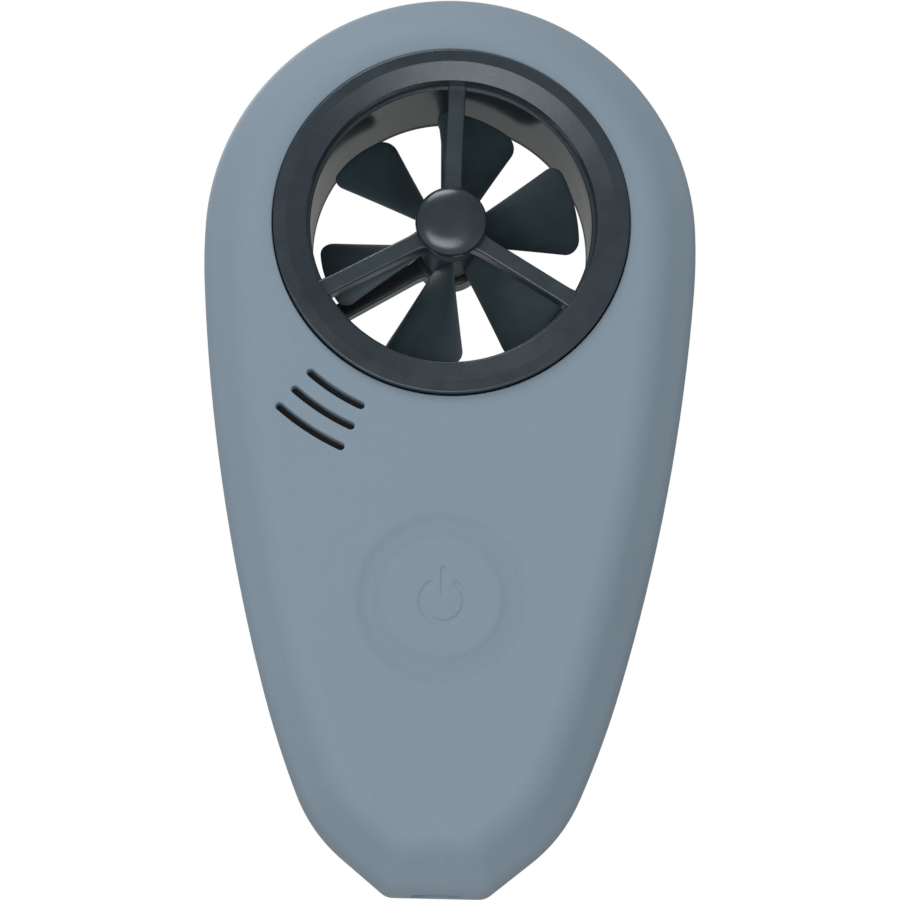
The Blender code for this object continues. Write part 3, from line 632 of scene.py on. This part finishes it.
def soft_rect(half_width, bottom, top, radius, steps=8):
    """Rounded rectangle centred on x = 0."""
    side = half_width - radius
    outline = []
    for cx, cz, start in ((side, bottom + radius, -90), (side, top - radius, 0),
                          (-side, top - radius, 90), (-side, bottom + radius, 180)):
        angles = [math.radians(a) for a in even(start, 90.0, steps)]
        outline += arc(cx, cz, radius, angles)
    return outline


def curved_slot(radius, start, end, width):
    """Round-ended slot along an arc about the duct axis; angles in degrees."""
    start, end = math.radians(start), math.radians(end)
    half = width / 2

    def end_cap(at, first):
        return arc(radius * math.cos(at), DUCT_Z + radius * math.sin(at), half,
                   even(first, math.pi, 8)[1:-1])

    return (arc(0.0, DUCT_Z, radius + half, even(start, end - start, 22))
            + end_cap(end, end)
            + arc(0.0, DUCT_Z, radius - half, even(end, start - end, 22), facing=-1)
            + end_cap(start, start + math.pi))


def offset(outline, distance, y):
    """Points of an outline moved along its normals, at one y."""
    return [(x + nx * distance, y, z + nz * distance) for x, z, nx, nz in outline]


# ================================================================ shells
ARCS = (                            # radius, sweep in degrees, steps; from top centre down
    (33.0, 31.1, 14), (34.2, 56.4, 26), (75.3, 6.4, 4),
    (270.0, 11.9, 16), (127.0, 6.7, 8), (21.5, 28.2, 16),
)
FOOT_R = 2.5                        # corner at the foot
RIM_Y = 0.16                        # parting plane to the rim of either half
SIDE_H, EDGE_R = 3.2, 4.0           # straight side, then the rounding behind it
FACE = {                            # rounding into the face, inset of the flat face,
    FRONT: (6.0, 7.926, 0.8),       # growth of the foot corner per mm of inset
    REAR: (3.0, 6.68, 1.2),
}
DUCT_OPENING_R = 24.26
DISH_R, DISH_OUT, DISH_D = 9.8, 11.9, 0.22     # dish around the button
VENT_RADII, VENT_ANGLES, VENT_W = (28.3, 31.4, 34.5), (-130.5, -114.1), 1.02
FOOT_HOLE = ((0, -0.6), (3.75, -0.6), (3.3, 0.28), (3.3, 3.0), (0, 3.0))   # radius, z


def half_outline(inset, foot_growth=0.0):
    """Body outline on the +X side, from top centre to foot centre, as (x, z)."""
    x, z, heading = 0.0, TOP_Z - inset, 0.0
    points = [(x, z)]
    for radius, sweep, steps in ARCS:
        radius -= inset
        cx, cz = x - radius * math.sin(heading), z - radius * math.cos(heading)
        for k in range(1, steps + 1):
            t = heading + math.radians(sweep) * k / steps
            points.append((cx + radius * math.sin(t), cz + radius * math.cos(t)))
        heading += math.radians(sweep)
        x, z = points[-1]
    # straight run down to the tangent point of the foot corner
    dx, dz = math.cos(heading), -math.sin(heading)
    radius = FOOT_R + foot_growth * inset
    turn = math.pi - heading
    tangent = radius * math.tan(turn / 2)
    run = (z - inset) / -dz
    foot_x, foot_z = x + dx * run - dx * tangent, inset - dz * tangent
    for k in range(1, 4):
        points.append((x + (foot_x - x) * k / 3, z + (foot_z - z) * k / 3))
    cx, cz = foot_x + dz * radius, foot_z - dx * radius
    for k in range(1, 9):
        t = heading + turn * k / 8
        points.append((cx + radius * math.sin(t), cz + radius * math.cos(t)))
    return points + [(points[-1][0] * 0.5, inset), (0.0, inset)]


OUTER = half_outline(0.0)
INNER = {side: half_outline(inset, growth) for side, (_, inset, growth) in FACE.items()}


def body_loop(side, inset, height):
    """Full outline between the parting edge and the flat face of one side."""
    share = inset / FACE[side][1]
    half = [(a[0] + (b[0] - a[0]) * share, a[1] + (b[1] - a[1]) * share)
            for a, b in zip(OUTER, INNER[side])]
    full = half + [(-x, z) for x, z in reversed(half[1:-1])]
    return [(x, side * height, z) for x, z in full]


def edge_rows(fillet, pad=0.3):
    """Rows of a filleted hole as (offset outward, depth below the face)."""
    rows = [(fillet + pad, 0.0)]
    for t in even(0.0, math.pi / 2, 6):
        rows.append((fillet * (1 - math.sin(t)), fillet * (1 - math.cos(t))))
    return rows + [(0.0, WALL)]


def dish_rows():
    """Rows of the shallow dish around the button, down to its hole."""
    rows = [(DISH_OUT - DISH_R + 0.6, 0.0)]
    for q in even(0.0, 1.0, 12):
        rows.append((DISH_OUT - DISH_R + 0.25 - 1.85 * q,
                     DISH_D * 0.5 * (1 - math.cos(math.pi * q))))
    return rows + [(0.25, DISH_D), (0.0, DISH_D), (0.0, WALL)]


def shell(name, side, holes, replaces):
    """One half of the body: a closed wall with holes of (outline, rows)."""
    roll, inset, _ = FACE[side]
    # outer skin as (inset, height): rim, side, edge rounding, slope, face rounding
    skin = [(0.9, RIM_Y), (0.16, RIM_Y), (0.05, RIM_Y + 0.05), (0.0, RIM_Y + 0.16),
            (0.0, 1.7), (0.0, SIDE_H)]
    for a in even(0.0, math.radians(45.0), 8)[1:]:
        skin.append((EDGE_R * (1 - math.cos(a)), SIDE_H + EDGE_R * math.sin(a)))
    face_round = [(inset - roll * math.cos(a), HALF_T - roll + roll * math.sin(a))
                  for a in even(math.radians(45.0), math.radians(45.0), 8)]
    (i0, h0), (i1, h1) = skin[-1], face_round[0]
    skin += [(i0 + (i1 - i0) * k / 3, h0 + (h1 - h0) * k / 3) for k in (1, 2)]
    skin += face_round
    lining = ((WALL, RIM_Y), (WALL, SIDE_H), (2.586, 4.614), (5.97, 8.0),
              (inset, HALF_T - WALL))

    solid = Solid()
    outer = [solid.loop(body_loop(side, i, h)) for i, h in skin]
    solid.chain(outer)
    inner = [solid.loop(body_loop(side, i, h)) for i, h in lining]
    solid.chain(inner)
    solid.bridge(outer[0], inner[0])
    top, bottom = [], []
    for outline, rows in holes:
        loops = [solid.loop(offset(outline, out, side * (HALF_T - depth)))
                 for out, depth in rows]
        solid.chain(loops)
        top.append(loops[0])
        bottom.append(loops[-1])
    solid.region(outer[-1], top)
    solid.region(inner[-1], bottom)
    ob = solid.object(name)
    carve(ob, turned(FOOT_HOLE, 72, "Z"))
    finish(ob, SKIN, "body", "body", replaces, angle=40)


def front_shell():
    holes = [(circle(0, DUCT_Z, DUCT_OPENING_R, 192), edge_rows(0.18)),
             (circle(0, BUTTON_Z, DISH_R + 0.006, 256), dish_rows())]
    for radius in VENT_RADII:
        holes.append((curved_slot(radius, *VENT_ANGLES, VENT_W), edge_rows(0.26, pad=0.2)))
    shell("shell_front", FRONT, holes, "front_shell")


def rear_shell():
    holes = [(circle(0, DUCT_Z, DUCT_OPENING_R, 192), edge_rows(0.18)),
             (soft_rect(9.28, 12.22, 62.78, 0.75), edge_rows(0.14))]
    for x, z in CASE_SCREWS:
        holes.append((circle(x, z, 2.12, 48), edge_rows(0.22, pad=0.1)))
    shell("shell_rear", REAR, holes, "rear_shell")


# ================================================================ power button
BUTTON_RINGS, BUTTON_SEGMENTS = 84, 256
BUTTON_BACK_Y = -9.15
CAP_EDGE = (7.3, 8.6)               # radii over which the cap falls to the dish floor
CAP_SINK, CAP_DOME = 0.03, 0.03     # cap below the front face; its crown
# power mark, relative to the button centre: a ring open at the top and an upright bar
MARK_R, MARK_CZ, MARK_GAP = 2.9, -0.3, (55.0, 125.0)
MARK_BAR = (0.9, 3.9)               # lower and upper end, z
MARK_DEPTH, MARK_EDGE = 0.16, (0.24, 0.50)      # depth; floor and lip from the centre line


def mark_distance(x, z):
    """Distance from a point to the centre line of the power mark."""
    up = z - MARK_CZ
    low, high = MARK_GAP
    if low < math.degrees(math.atan2(up, x)) % 360.0 < high:
        ring = min(math.hypot(x - MARK_R * math.cos(math.radians(t)),
                              up - MARK_R * math.sin(math.radians(t))) for t in MARK_GAP)
    else:
        ring = abs(math.hypot(x, up) - MARK_R)
    return min(ring, math.hypot(x, z - min(max(z, MARK_BAR[0]), MARK_BAR[1])))


def smooth(low, high, value):
    t = min(max((value - low) / (high - low), 0.0), 1.0)
    return t * t * (3 - 2 * t)


def power_button():
    """One continuous skin over the cap, its rim level with the dish floor."""
    floor_y = -HALF_T + DISH_D
    solid = Solid()
    loops = [solid.loop([(0.0, -HALF_T, BUTTON_Z)]) * BUTTON_SEGMENTS]
    for i in range(1, BUTTON_RINGS + 1):
        r = DISH_R * i / BUTTON_RINGS
        rise = 1.0 - smooth(*CAP_EDGE, r)
        dome = CAP_DOME * (1.0 - (r / DISH_R) ** 2)
        row = []
        for a in even(0.0, 2 * math.pi, BUTTON_SEGMENTS)[:-1]:
            x, z = r * math.cos(a), r * math.sin(a)
            mark = MARK_DEPTH * (1.0 - smooth(*MARK_EDGE, mark_distance(x, z)))
            y = floor_y - (DISH_D - CAP_SINK) * rise - dome + mark
            row.append((x, y, BUTTON_Z + z))
        loops.append(solid.loop(row))
    loops.append(solid.loop([(x, BUTTON_BACK_Y, z) for x, _, z in row]))
    solid.chain(loops)
    solid.cap(loops[-1])
    ob = solid.build("button_skin", SKIN, None, "button_rubber", "power_button",
                     angle=60, weighted=False)
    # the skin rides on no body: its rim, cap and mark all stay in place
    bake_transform(ob)


# ================================================================ door and screws
DOOR_ROWS = (                       # offset from the door outline, y
    (-0.55, 10.3), (-0.18, 10.3), (-0.05, 10.25), (0.0, 10.12),
    (0.0, 9.05), (-0.08, 8.93), (-0.5, 8.92),
)
DOOR_HALF_W = 8.99
GRIP_Z = 60.6
GRIP_SCOOP = ((0, 9.55), (3.3, 9.55), (3.9, 9.9), (4.3, 10.6), (4.3, 11.5), (0, 11.5))
GROOVE_TOP_Z, GROOVE_PITCH = 53.2, 1.7
SCREW_WELL = (                      # radius, y, rounding
    (1.2, 8.5, 0.1), (2.14, 8.5, 0), (2.14, 8.29, 0), (2.7, 8.29, 0.1), (2.7, 0.55, 0.1),
    (1.2, 0.55, 0.1),
)
SCREW_BOSS = ((1.05, -0.55), (2.7, -0.55), (2.7, -8.29), (1.05, -8.29))     # radius, y
SCREW = (                           # radius, y, rounding
    (0.0, 9.9, 0), (1.75, 9.75, 0.25), (1.9, 9.45, 0.15), (1.9, 8.62, 0.05),
    (0.95, 8.62, 0.1), (0.95, -5.6, 0.2), (0.3, -6.2, 0.1), (0.0, -6.2, 0),
)
CROSS_LONG, CROSS_SHORT = 2.5, 0.56
CROSS_ROWS = ((10.6, 1.0), (8.85, 0.6))         # y, share of full size


def door_seat():
    """Frame in front of the battery door, relieved for the hinge."""
    def block(outline, y0, y1):
        return lofted([offset(outline, 0.0, y) for y in (y0, y1)])

    ob = block(soft_rect(11.0, 10.9, 64.0, 1.2), 7.2, 8.28).object("door_seat")
    carve(ob, block(soft_rect(7.8, 15.8, 61.2, 0.8), 6.0, 9.5))
    carve(ob, turned(((0, -9.29), (1.5, -9.29), (1.5, 9.29), (0, 9.29)), 40, "X", HINGE))
    finish(ob, INSIDE, "body", "body", angle=35, bevel=0.08)


def screw_posts():
    """Wells behind the parting plane and bosses in front of it."""
    for i, (x, z) in enumerate(CASE_SCREWS, 1):
        well = turned(rounded(SCREW_WELL, 2), 40, "Y", (x, 0, z))
        well.build("screw_well_%d" % i, INSIDE, "body", "body")
        boss = turned(SCREW_BOSS, 40, "Y", (x, 0, z))
        boss.build("screw_boss_%d" % i, INSIDE, "body", "body", bevel=0.1)


def case_screws():
    """Cross-recess screws whose heads face the rear."""
    for i, (x, z) in enumerate(CASE_SCREWS, 1):
        ob = turned(rounded(SCREW, 4), 48, "Y", (x, 0, z)).object("screw_case_%d" % i)
        for width, length in ((CROSS_SHORT, CROSS_LONG), (CROSS_LONG, CROSS_SHORT)):
            carve(ob, lofted([
                [(x + sx * width / 2 * share, y, z + sz * length / 2 * share)
                 for sx, sz in ((-1, -1), (1, -1), (1, 1), (-1, 1))]
                for y, share in CROSS_ROWS]))
        finish(ob, ZINC, "body", "zinc_screw", "case_screw_%d" % i, angle=30)


def hinge_bar(radius, half_length, rounding, segments):
    profile = rounded(((0, -half_length, 0), (radius, -half_length, rounding),
                       (radius, half_length, rounding), (0, half_length, 0)), 3)
    return turned(profile, segments, "X", HINGE)


def battery_door():
    """Panel with hinge barrel and pin, a scooped grip and three grooves."""
    outline = soft_rect(DOOR_HALF_W, HINGE[2] - 0.2, 62.49, 0.6)
    ob = lofted([offset(outline, out, y) for out, y in DOOR_ROWS]).object("door_panel")
    carve(ob, hinge_bar(1.2, DOOR_HALF_W, 0.12, 56), "UNION")
    carve(ob, hinge_bar(0.45, 9.85, 0.1, 28), "UNION")
    carve(ob, turned(GRIP_SCOOP, 72, "Y", (0, 0, GRIP_Z)))
    for k in range(3):
        z = GROOVE_TOP_Z - k * GROOVE_PITCH
        groove = soft_rect(4.6, z - 0.4, z + 0.4, 0.39, steps=6)
        carve(ob, lofted([offset(groove, 0.25, 10.6), offset(groove, -0.18, 10.0)]))
    finish(ob, SKIN_DARK, "door", "body", "battery_door", angle=32, bevel=0.06)


# ================================================================ duct
# profiles are (radius, distance from the parting plane, rounding)
DUCT_RIM = (
    (24.08, 8.0, 0.1), (24.08, 11.0, 0.30), (22.35, 11.0, 0.35), (19.7, 10.45, 0.16),
    (19.58, 8.75, 0.05), (19.98, 8.75, 0.0), (19.98, 8.32, 0.05), (19.06, 8.32, 0.14),
    (19.2, 7.7, 0.2),
)
# the front sleeve runs on inside the rear half, which is rebated for it
DUCT_SLEEVE = {
    FRONT: ((19.2, -7.6, 0.08), (20.1, -7.6, 0.08), (20.1, 0.01, 0.05)),
    REAR: ((19.22, 7.64, 0.02), (20.14, 7.64, 0.02), (20.14, 0.01, 0.05)),
}
DUCT_OUTSIDE = ((21.2, 0.01, 0.1), (21.2, 8.0, 0.1))
BORE_R = 19.27                      # faces wholly within this radius are bore
COLLAR = (
    (26.1, 8.28, 0), (24.39, 8.28, 0.05), (24.39, 7.4, 0.1), (21.6, 7.4, 0.1),
    (21.6, 6.15, 0.1), (26.1, 6.15, 0.1),
)
NOSE_R, NOSE_BASE, NOSE_CROWN, NOSE_POWER = 4.88, 9.5, 1.47, 2.7
NOSE_STEM = ((0.0, 5.62, 0), (3.4, 5.62, 0.3), (3.65, 8.5, 0.5), (4.75, 8.9, 0.35),
             (NOSE_R, NOSE_BASE, 0))
REAR_HUB = ((0.0, 5.62, 0), (4.9, 5.62, 0.3), (5.08, 9.3, 0.7), (4.0, 10.05, 1.0),
            (0.0, 10.2, 0))
STRUT_NEAR, STRUT_FAR = 5.72, 8.55  # distance from the parting plane
STRUT_START, STRUT_END = 3.0, 19.7  # radii


def duct_half(name, side, replaces):
    """Rim and sleeve of one half, with the bore in its own material."""
    profile = rounded(DUCT_RIM + DUCT_SLEEVE[side] + DUCT_OUTSIDE, 6)
    solid = turned([(r, side * h) for r, h in profile], 224, "Y", DUCT_CENTRE)
    mesh = solid.build(name, RING, "body", "black_plastic", replaces, angle=32).data
    mesh.materials.append(BORE)
    for face in mesh.polygons:
        places = [mesh.vertices[v].co for v in face.vertices]
        if all(math.hypot(p.x, p.z - DUCT_Z * MM) < BORE_R * MM for p in places):
            face.material_index = 1


def collar(name, side):
    profile = [(r, side * h) for r, h in rounded(COLLAR, 3)]
    turned(profile, 160, "Y", DUCT_CENTRE).build(name, INSIDE, "body", "body", angle=35)


def nose_cap():
    """Front hub: a flared stem under a superellipse crown."""
    profile = rounded(NOSE_STEM, 6)
    for a in even(0.0, math.pi / 2, 24)[1:]:
        share = math.cos(a) ** 0.8
        crown = NOSE_CROWN * (1 - share ** NOSE_POWER) ** (1 / NOSE_POWER)
        profile.append((NOSE_R * share, NOSE_BASE + crown))
    solid = turned([(r, -h) for r, h in profile], 96, "Y", DUCT_CENTRE)
    solid.build("nose_cap", NOSE, "body", "black_plastic", angle=60)


def rear_hub():
    solid = turned(rounded(REAR_HUB, 7), 96, "Y", DUCT_CENTRE)
    solid.build("rear_hub", STRUT, "body", "black_plastic", angle=60)


def strut(name, side, angle, width, root_flare):
    """Radial bar that flares a little where it meets the hub and the tube."""
    ca, sa = math.cos(math.radians(angle)), math.sin(math.radians(angle))
    section = rounded(((-width / 2, STRUT_NEAR, 0.3), (width / 2, STRUT_NEAR, 0.3),
                       (width / 2, STRUT_FAR, 0.32), (-width / 2, STRUT_FAR, 0.32)))
    rows = []
    for r in even(STRUT_START, STRUT_END - STRUT_START, 24):
        flare = (1.0 + 0.22 * math.exp(-((r - 3.9) / 1.1) ** 2)
                 + root_flare * math.exp(-((r - 19.6) / 1.0) ** 2))
        rows.append([(r * ca - across * flare * sa, side * h,
                      DUCT_Z + r * sa + across * flare * ca) for across, h in section])
    lofted(rows).build(name, STRUT, "body", "black_plastic", angle=40)


def duct():
    duct_half("duct_front_ring", FRONT, "duct_front")
    duct_half("duct_rear_ring", REAR, "duct_rear")
    collar("collar_front", FRONT)
    collar("collar_rear", REAR)
    nose_cap()
    rear_hub()
    for i, angle in enumerate((90.0, 210.0, 330.0), 1):
        strut("front_strut_%d" % i, FRONT, angle - 1.3, width=2.36, root_flare=0.10)
        strut("rear_strut_%d" % i, REAR, angle + 1.0, width=2.5, root_flare=0.55)


# ================================================================ impeller
HUB = (                             # radius, y, rounding
    (0.8, -4.6, 0.05), (3.3, -4.6, 0.5), (4.1, -3.9, 0.3), (4.1, 4.55, 0.25),
    (3.45, 4.6, 0.05), (3.45, 2.92, 0), (0.8, 2.92, 0),
)
VANE_COUNT, VANE_PHASE = 6, 17.7    # phase in degrees
VANE_ROOT_R, VANE_TIP_R, VANE_CORNER = 3.75, 18.0, 1.75
VANE_ROWS, VANE_COLUMNS = 44, 36    # root to tip, edge to edge


def vane_tip_radius(u):
    """Tip radius at u from -1 to 1 across the vane, dropping at both corners."""
    half = VANE_TIP_R * math.sin(math.radians(19.2))
    corner = VANE_CORNER if u > 0 else VANE_CORNER * 1.15
    past = abs(u) * half - (half - corner)
    if past <= 0:
        return VANE_TIP_R
    return VANE_TIP_R - corner + math.sqrt(max(corner * corner - past ** 2, 0.0))


def vane_point(middle, q, u, side):
    """Point on one face (side -1 or 1) at q from root to tip and u across."""
    r = VANE_ROOT_R + (vane_tip_radius(u) - VANE_ROOT_R) * q
    angle = math.radians(middle + u * (18.5 + 0.8 * q))
    camber = 0.35 * (1 - u * u) * (0.4 + 0.6 * q)
    near, far = -2.4, 2.9 + 1.7 * q
    y = (near + far) / 2 - u * (far - near) / 2 - camber
    thinning = (1 - abs(u) ** 5) ** 0.5 * (1 - q ** 14) ** 0.5
    half_thickness = (0.50 - 0.18 * q) * thinning
    return (r * math.cos(angle), y + side * half_thickness, DUCT_Z + r * math.sin(angle))


def impeller():
    solid = turned(rounded(HUB), 96, "Y", DUCT_CENTRE)
    solid.build("impeller_hub", VANE, "rotor", "blade_plastic", "impeller", angle=40)
    # rows crowd towards the tip and columns towards both edges
    us = [math.sin(math.pi / 2 * (-1 + 2 * j / VANE_COLUMNS)) for j in range(VANE_COLUMNS + 1)]
    qs = [1 - (1 - t / VANE_ROWS) ** 1.6 for t in range(VANE_ROWS + 1)]
    vanes = Solid()
    for i in range(VANE_COUNT):
        middle = VANE_PHASE + 360.0 / VANE_COUNT * i
        sheets = [[vanes.loop([vane_point(middle, q, u, side) for u in us]) for q in qs]
                  for side in (-1, 1)]
        for sheet in sheets:
            vanes.chain(sheet, closed=False)
        vanes.bridge(sheets[0][0], sheets[1][0], closed=False)
    vanes.build("impeller_vanes", VANE, "rotor", "blade_plastic", angle=60, weighted=False)


# ================================================================ cell, spring, insert
CELL_Y = 1.75
CELL_PROFILE = (                    # radius, z, rounding
    (0.0, 16.2, 0), (4.6, 16.2, 0.3), (5.25, 16.7, 0.5), (5.25, 59.3, 0.5),
    (4.7, 59.9, 0.35), (1.9, 59.9, 0.1), (1.85, 60.7, 0.25), (0.0, 60.7, 0),
)
SPRING_TURNS, SPRING_STEPS, WIRE_R, WIRE_SIDES = 3, 48, 0.28, 14
THREAD_TOP_Z, THREAD_PITCH, THREAD_TURNS = 8.6, 1.27, 6
THREAD_R, GROOVE_R = 2.62, 3.15
INSERT_OUTSIDE = (                  # radius, z
    (2.62, 1.9), (3.2, 1.32), (3.95, 1.32), (4.18, 1.55), (4.18, 4.2), (3.8, 4.5),
    (3.8, 6.3), (4.18, 6.6), (4.18, 9.8), (4.0, 10.0),
)


def battery_cell():
    solid = turned(rounded(CELL_PROFILE), 96, "Z", (0, CELL_Y, 0))
    solid.build("cell_aaa", CELL, "body", "cell_sleeve", "battery_cell", angle=35)


def battery_spring():
    """Conical coil, narrowing upward."""
    rows = []
    for q in even(0.0, 1.0, SPRING_TURNS * SPRING_STEPS):
        a = 2 * SPRING_TURNS * math.pi * q
        coil_r, z = 3.2 - 1.5 * q, 13.15 + 2.7 * q
        row = []
        for b in even(0.0, 2 * math.pi, WIRE_SIDES)[:-1]:
            r = coil_r + WIRE_R * math.cos(b)
            row.append((r * math.cos(a), CELL_Y + r * math.sin(a), z + WIRE_R * math.sin(b)))
        rows.append(row)
    lofted(rows).build("spring_coil", SPRING, "body", "steel", "battery_spring", angle=50)


def tripod_insert():
    """Threaded insert, its thread made of separate rings down the bore."""
    profile = [(0.0, 10.0), (0.0, 9.0), (2.6, 9.0)]
    for k in range(THREAD_TURNS):
        z = THREAD_TOP_Z - k * THREAD_PITCH
        profile += [(THREAD_R, z), (GROOVE_R, z - 0.5), (GROOVE_R, z - 0.62),
                    (THREAD_R, z - 1.12)]
    profile += INSERT_OUTSIDE
    solid = turned(profile, 72, "Z")
    solid.build("insert_brass", BRASS, "body", "brass", "tripod_insert", angle=25)


# ================================================================ stage
# world brightness by direction of view
UPPER_FRONT, UPPER_BACK, HIGH_BACK = 0.28, 0.30, 0.60
LOWER_FRONT, LOWER_BACK = 0.52, 0.34
LIGHT_TARGET = (0, 0, 0.08)


def floor_material():
    """Pale diffuse, fading out with distance and clear from below."""
    material = bpy.data.materials.new("pale_floor")
    t = Tree(material)
    tone = t.ramp(t.node("ShaderNodeTexNoise", {"Scale": 6.0}).outputs["Fac"],
                  (0.0, (0.80, 0.80, 0.80)), (1.0, (0.84, 0.84, 0.84)))
    diffuse = t.node("ShaderNodeBsdfDiffuse", {0: tone})
    clear = t.node("ShaderNodeBsdfTransparent")
    below = t.node("ShaderNodeNewGeometry").outputs["Backfacing"]
    place = t.node("ShaderNodeTexCoord").outputs["Object"]
    distance = t.node("ShaderNodeVectorMath", {0: place}, operation="LENGTH").outputs["Value"]
    fade = t.remap(distance, span=(0.12, 1.5), interpolation_type="SMOOTHERSTEP")
    mixed = t.node("ShaderNodeMixShader", {0: t.calc("MAXIMUM", fade, below),
                                           1: diffuse.outputs[0], 2: clear.outputs[0]})
    t.node("ShaderNodeOutputMaterial", {0: mixed.outputs[0]})
    return material


def add_floor():
    mesh = bpy.data.meshes.new("floor")
    mesh.from_pydata([(-3, -3, 0), (3, -3, 0), (3, 3, 0), (-3, 3, 0)], [], [(0, 1, 2, 3)])
    floor = bpy.data.objects.new("floor", mesh)
    bpy.context.scene.collection.objects.link(floor)
    mesh.materials.append(floor_material())
    # the floor takes shadows; its bounce comes from the lower half of the world
    floor.visible_diffuse = False
    floor.visible_glossy = False
    floor.visible_shadow = False
    floor.visible_transmission = False


def add_world():
    """Plain grey surround, seen by the camera as white."""
    world = bpy.data.worlds.new("studio")
    bpy.context.scene.world = world
    t = Tree(world)

    def blend(value, span, to):
        return t.remap(value, to=to, span=span, interpolation_type="SMOOTHSTEP")

    coords = t.node("ShaderNodeTexCoord").outputs["Generated"]
    view = t.node("ShaderNodeSeparateXYZ", {0: coords}).outputs
    behind = blend(view["Z"], (0.26, 0.36), (UPPER_BACK, HIGH_BACK))
    upper = blend(view["Y"], (-0.35, 0.35), (UPPER_FRONT, behind))
    lower = blend(view["Y"], (-0.35, 0.35), (LOWER_FRONT, LOWER_BACK))
    level = blend(view["Z"], (-0.14, 0.0), (lower, upper))
    white = (1.0, 1.0, 1.0)
    surround = t.node("ShaderNodeBackground", {0: white, 1: level})
    backdrop = t.node("ShaderNodeBackground", {0: white})
    camera_ray = t.node("ShaderNodeLightPath").outputs["Is Camera Ray"]
    mixed = t.node("ShaderNodeMixShader", {0: camera_ray, 1: surround.outputs[0],
                                           2: backdrop.outputs[0]})
    t.node("ShaderNodeOutputWorld", {0: mixed.outputs[0]})


def add_panel(name, azimuth, elevation, distance, size, power):
    """Soft panel aimed at the body; azimuth 0 is in front, 90 on the +X side."""
    light = bpy.data.lights.new(name, "AREA")
    light.shape = "RECTANGLE"
    light.size, light.size_y = size
    light.energy = power
    ob = bpy.data.objects.new(name, light)
    a, e = math.radians(azimuth), math.radians(elevation)
    target = Vector(LIGHT_TARGET)
    direction = Vector((math.sin(a) * math.cos(e), -math.cos(a) * math.cos(e), math.sin(e)))
    ob.location = target + direction * distance
    ob.rotation_euler = (target - ob.location).to_track_quat("-Z", "Y").to_euler()
    ob.visible_camera = False
    bpy.context.scene.collection.objects.link(ob)


def add_camera():
    """Long-lens camera in front of the body, low and looking up."""
    place = Vector((-4.05, -471.0, -38.58)) * MM
    pitch, yaw, roll = (math.radians(a) for a in (11.896, -0.564, 1.235))
    data = bpy.data.cameras.new("camera")
    camera = bpy.data.objects.new("camera", data)
    bpy.context.scene.collection.objects.link(camera)
    forward = Vector((-math.sin(yaw) * math.cos(pitch), math.cos(yaw) * math.cos(pitch),
                      math.sin(pitch)))
    level = forward.cross(Vector((0, 0, 1))).normalized()
    upright = level.cross(forward)
    right = level * math.cos(roll) + upright * math.sin(roll)
    up = -level * math.sin(roll) + upright * math.cos(roll)
    matrix = Matrix((right, up, -forward)).transposed().to_4x4()
    matrix.translation = place
    camera.matrix_world = matrix
    data.sensor_width = 36.0
    data.lens = 141.33
    data.clip_start = 0.01
    data.clip_end = 20.0
    bpy.context.scene.camera = camera


# ================================================================ build
dress_cad_pieces()
front_shell()
power_button()
rear_shell()
door_seat()
screw_posts()
case_screws()
battery_door()
duct()
impeller()
battery_cell()
battery_spring()
tripod_insert()

add_floor()
add_world()
add_panel("key", azimuth=-26, elevation=58, distance=2.4, size=(1.3, 1.0), power=19.7)
add_panel("low_front", azimuth=-11, elevation=-12, distance=1.6, size=(1.08, 0.6), power=7.6)
add_panel("back", azimuth=-150, elevation=35, distance=2.2, size=(1.0, 0.8), power=10.0)
add_camera()
bpy.context.scene.view_settings.view_transform = "Standard"
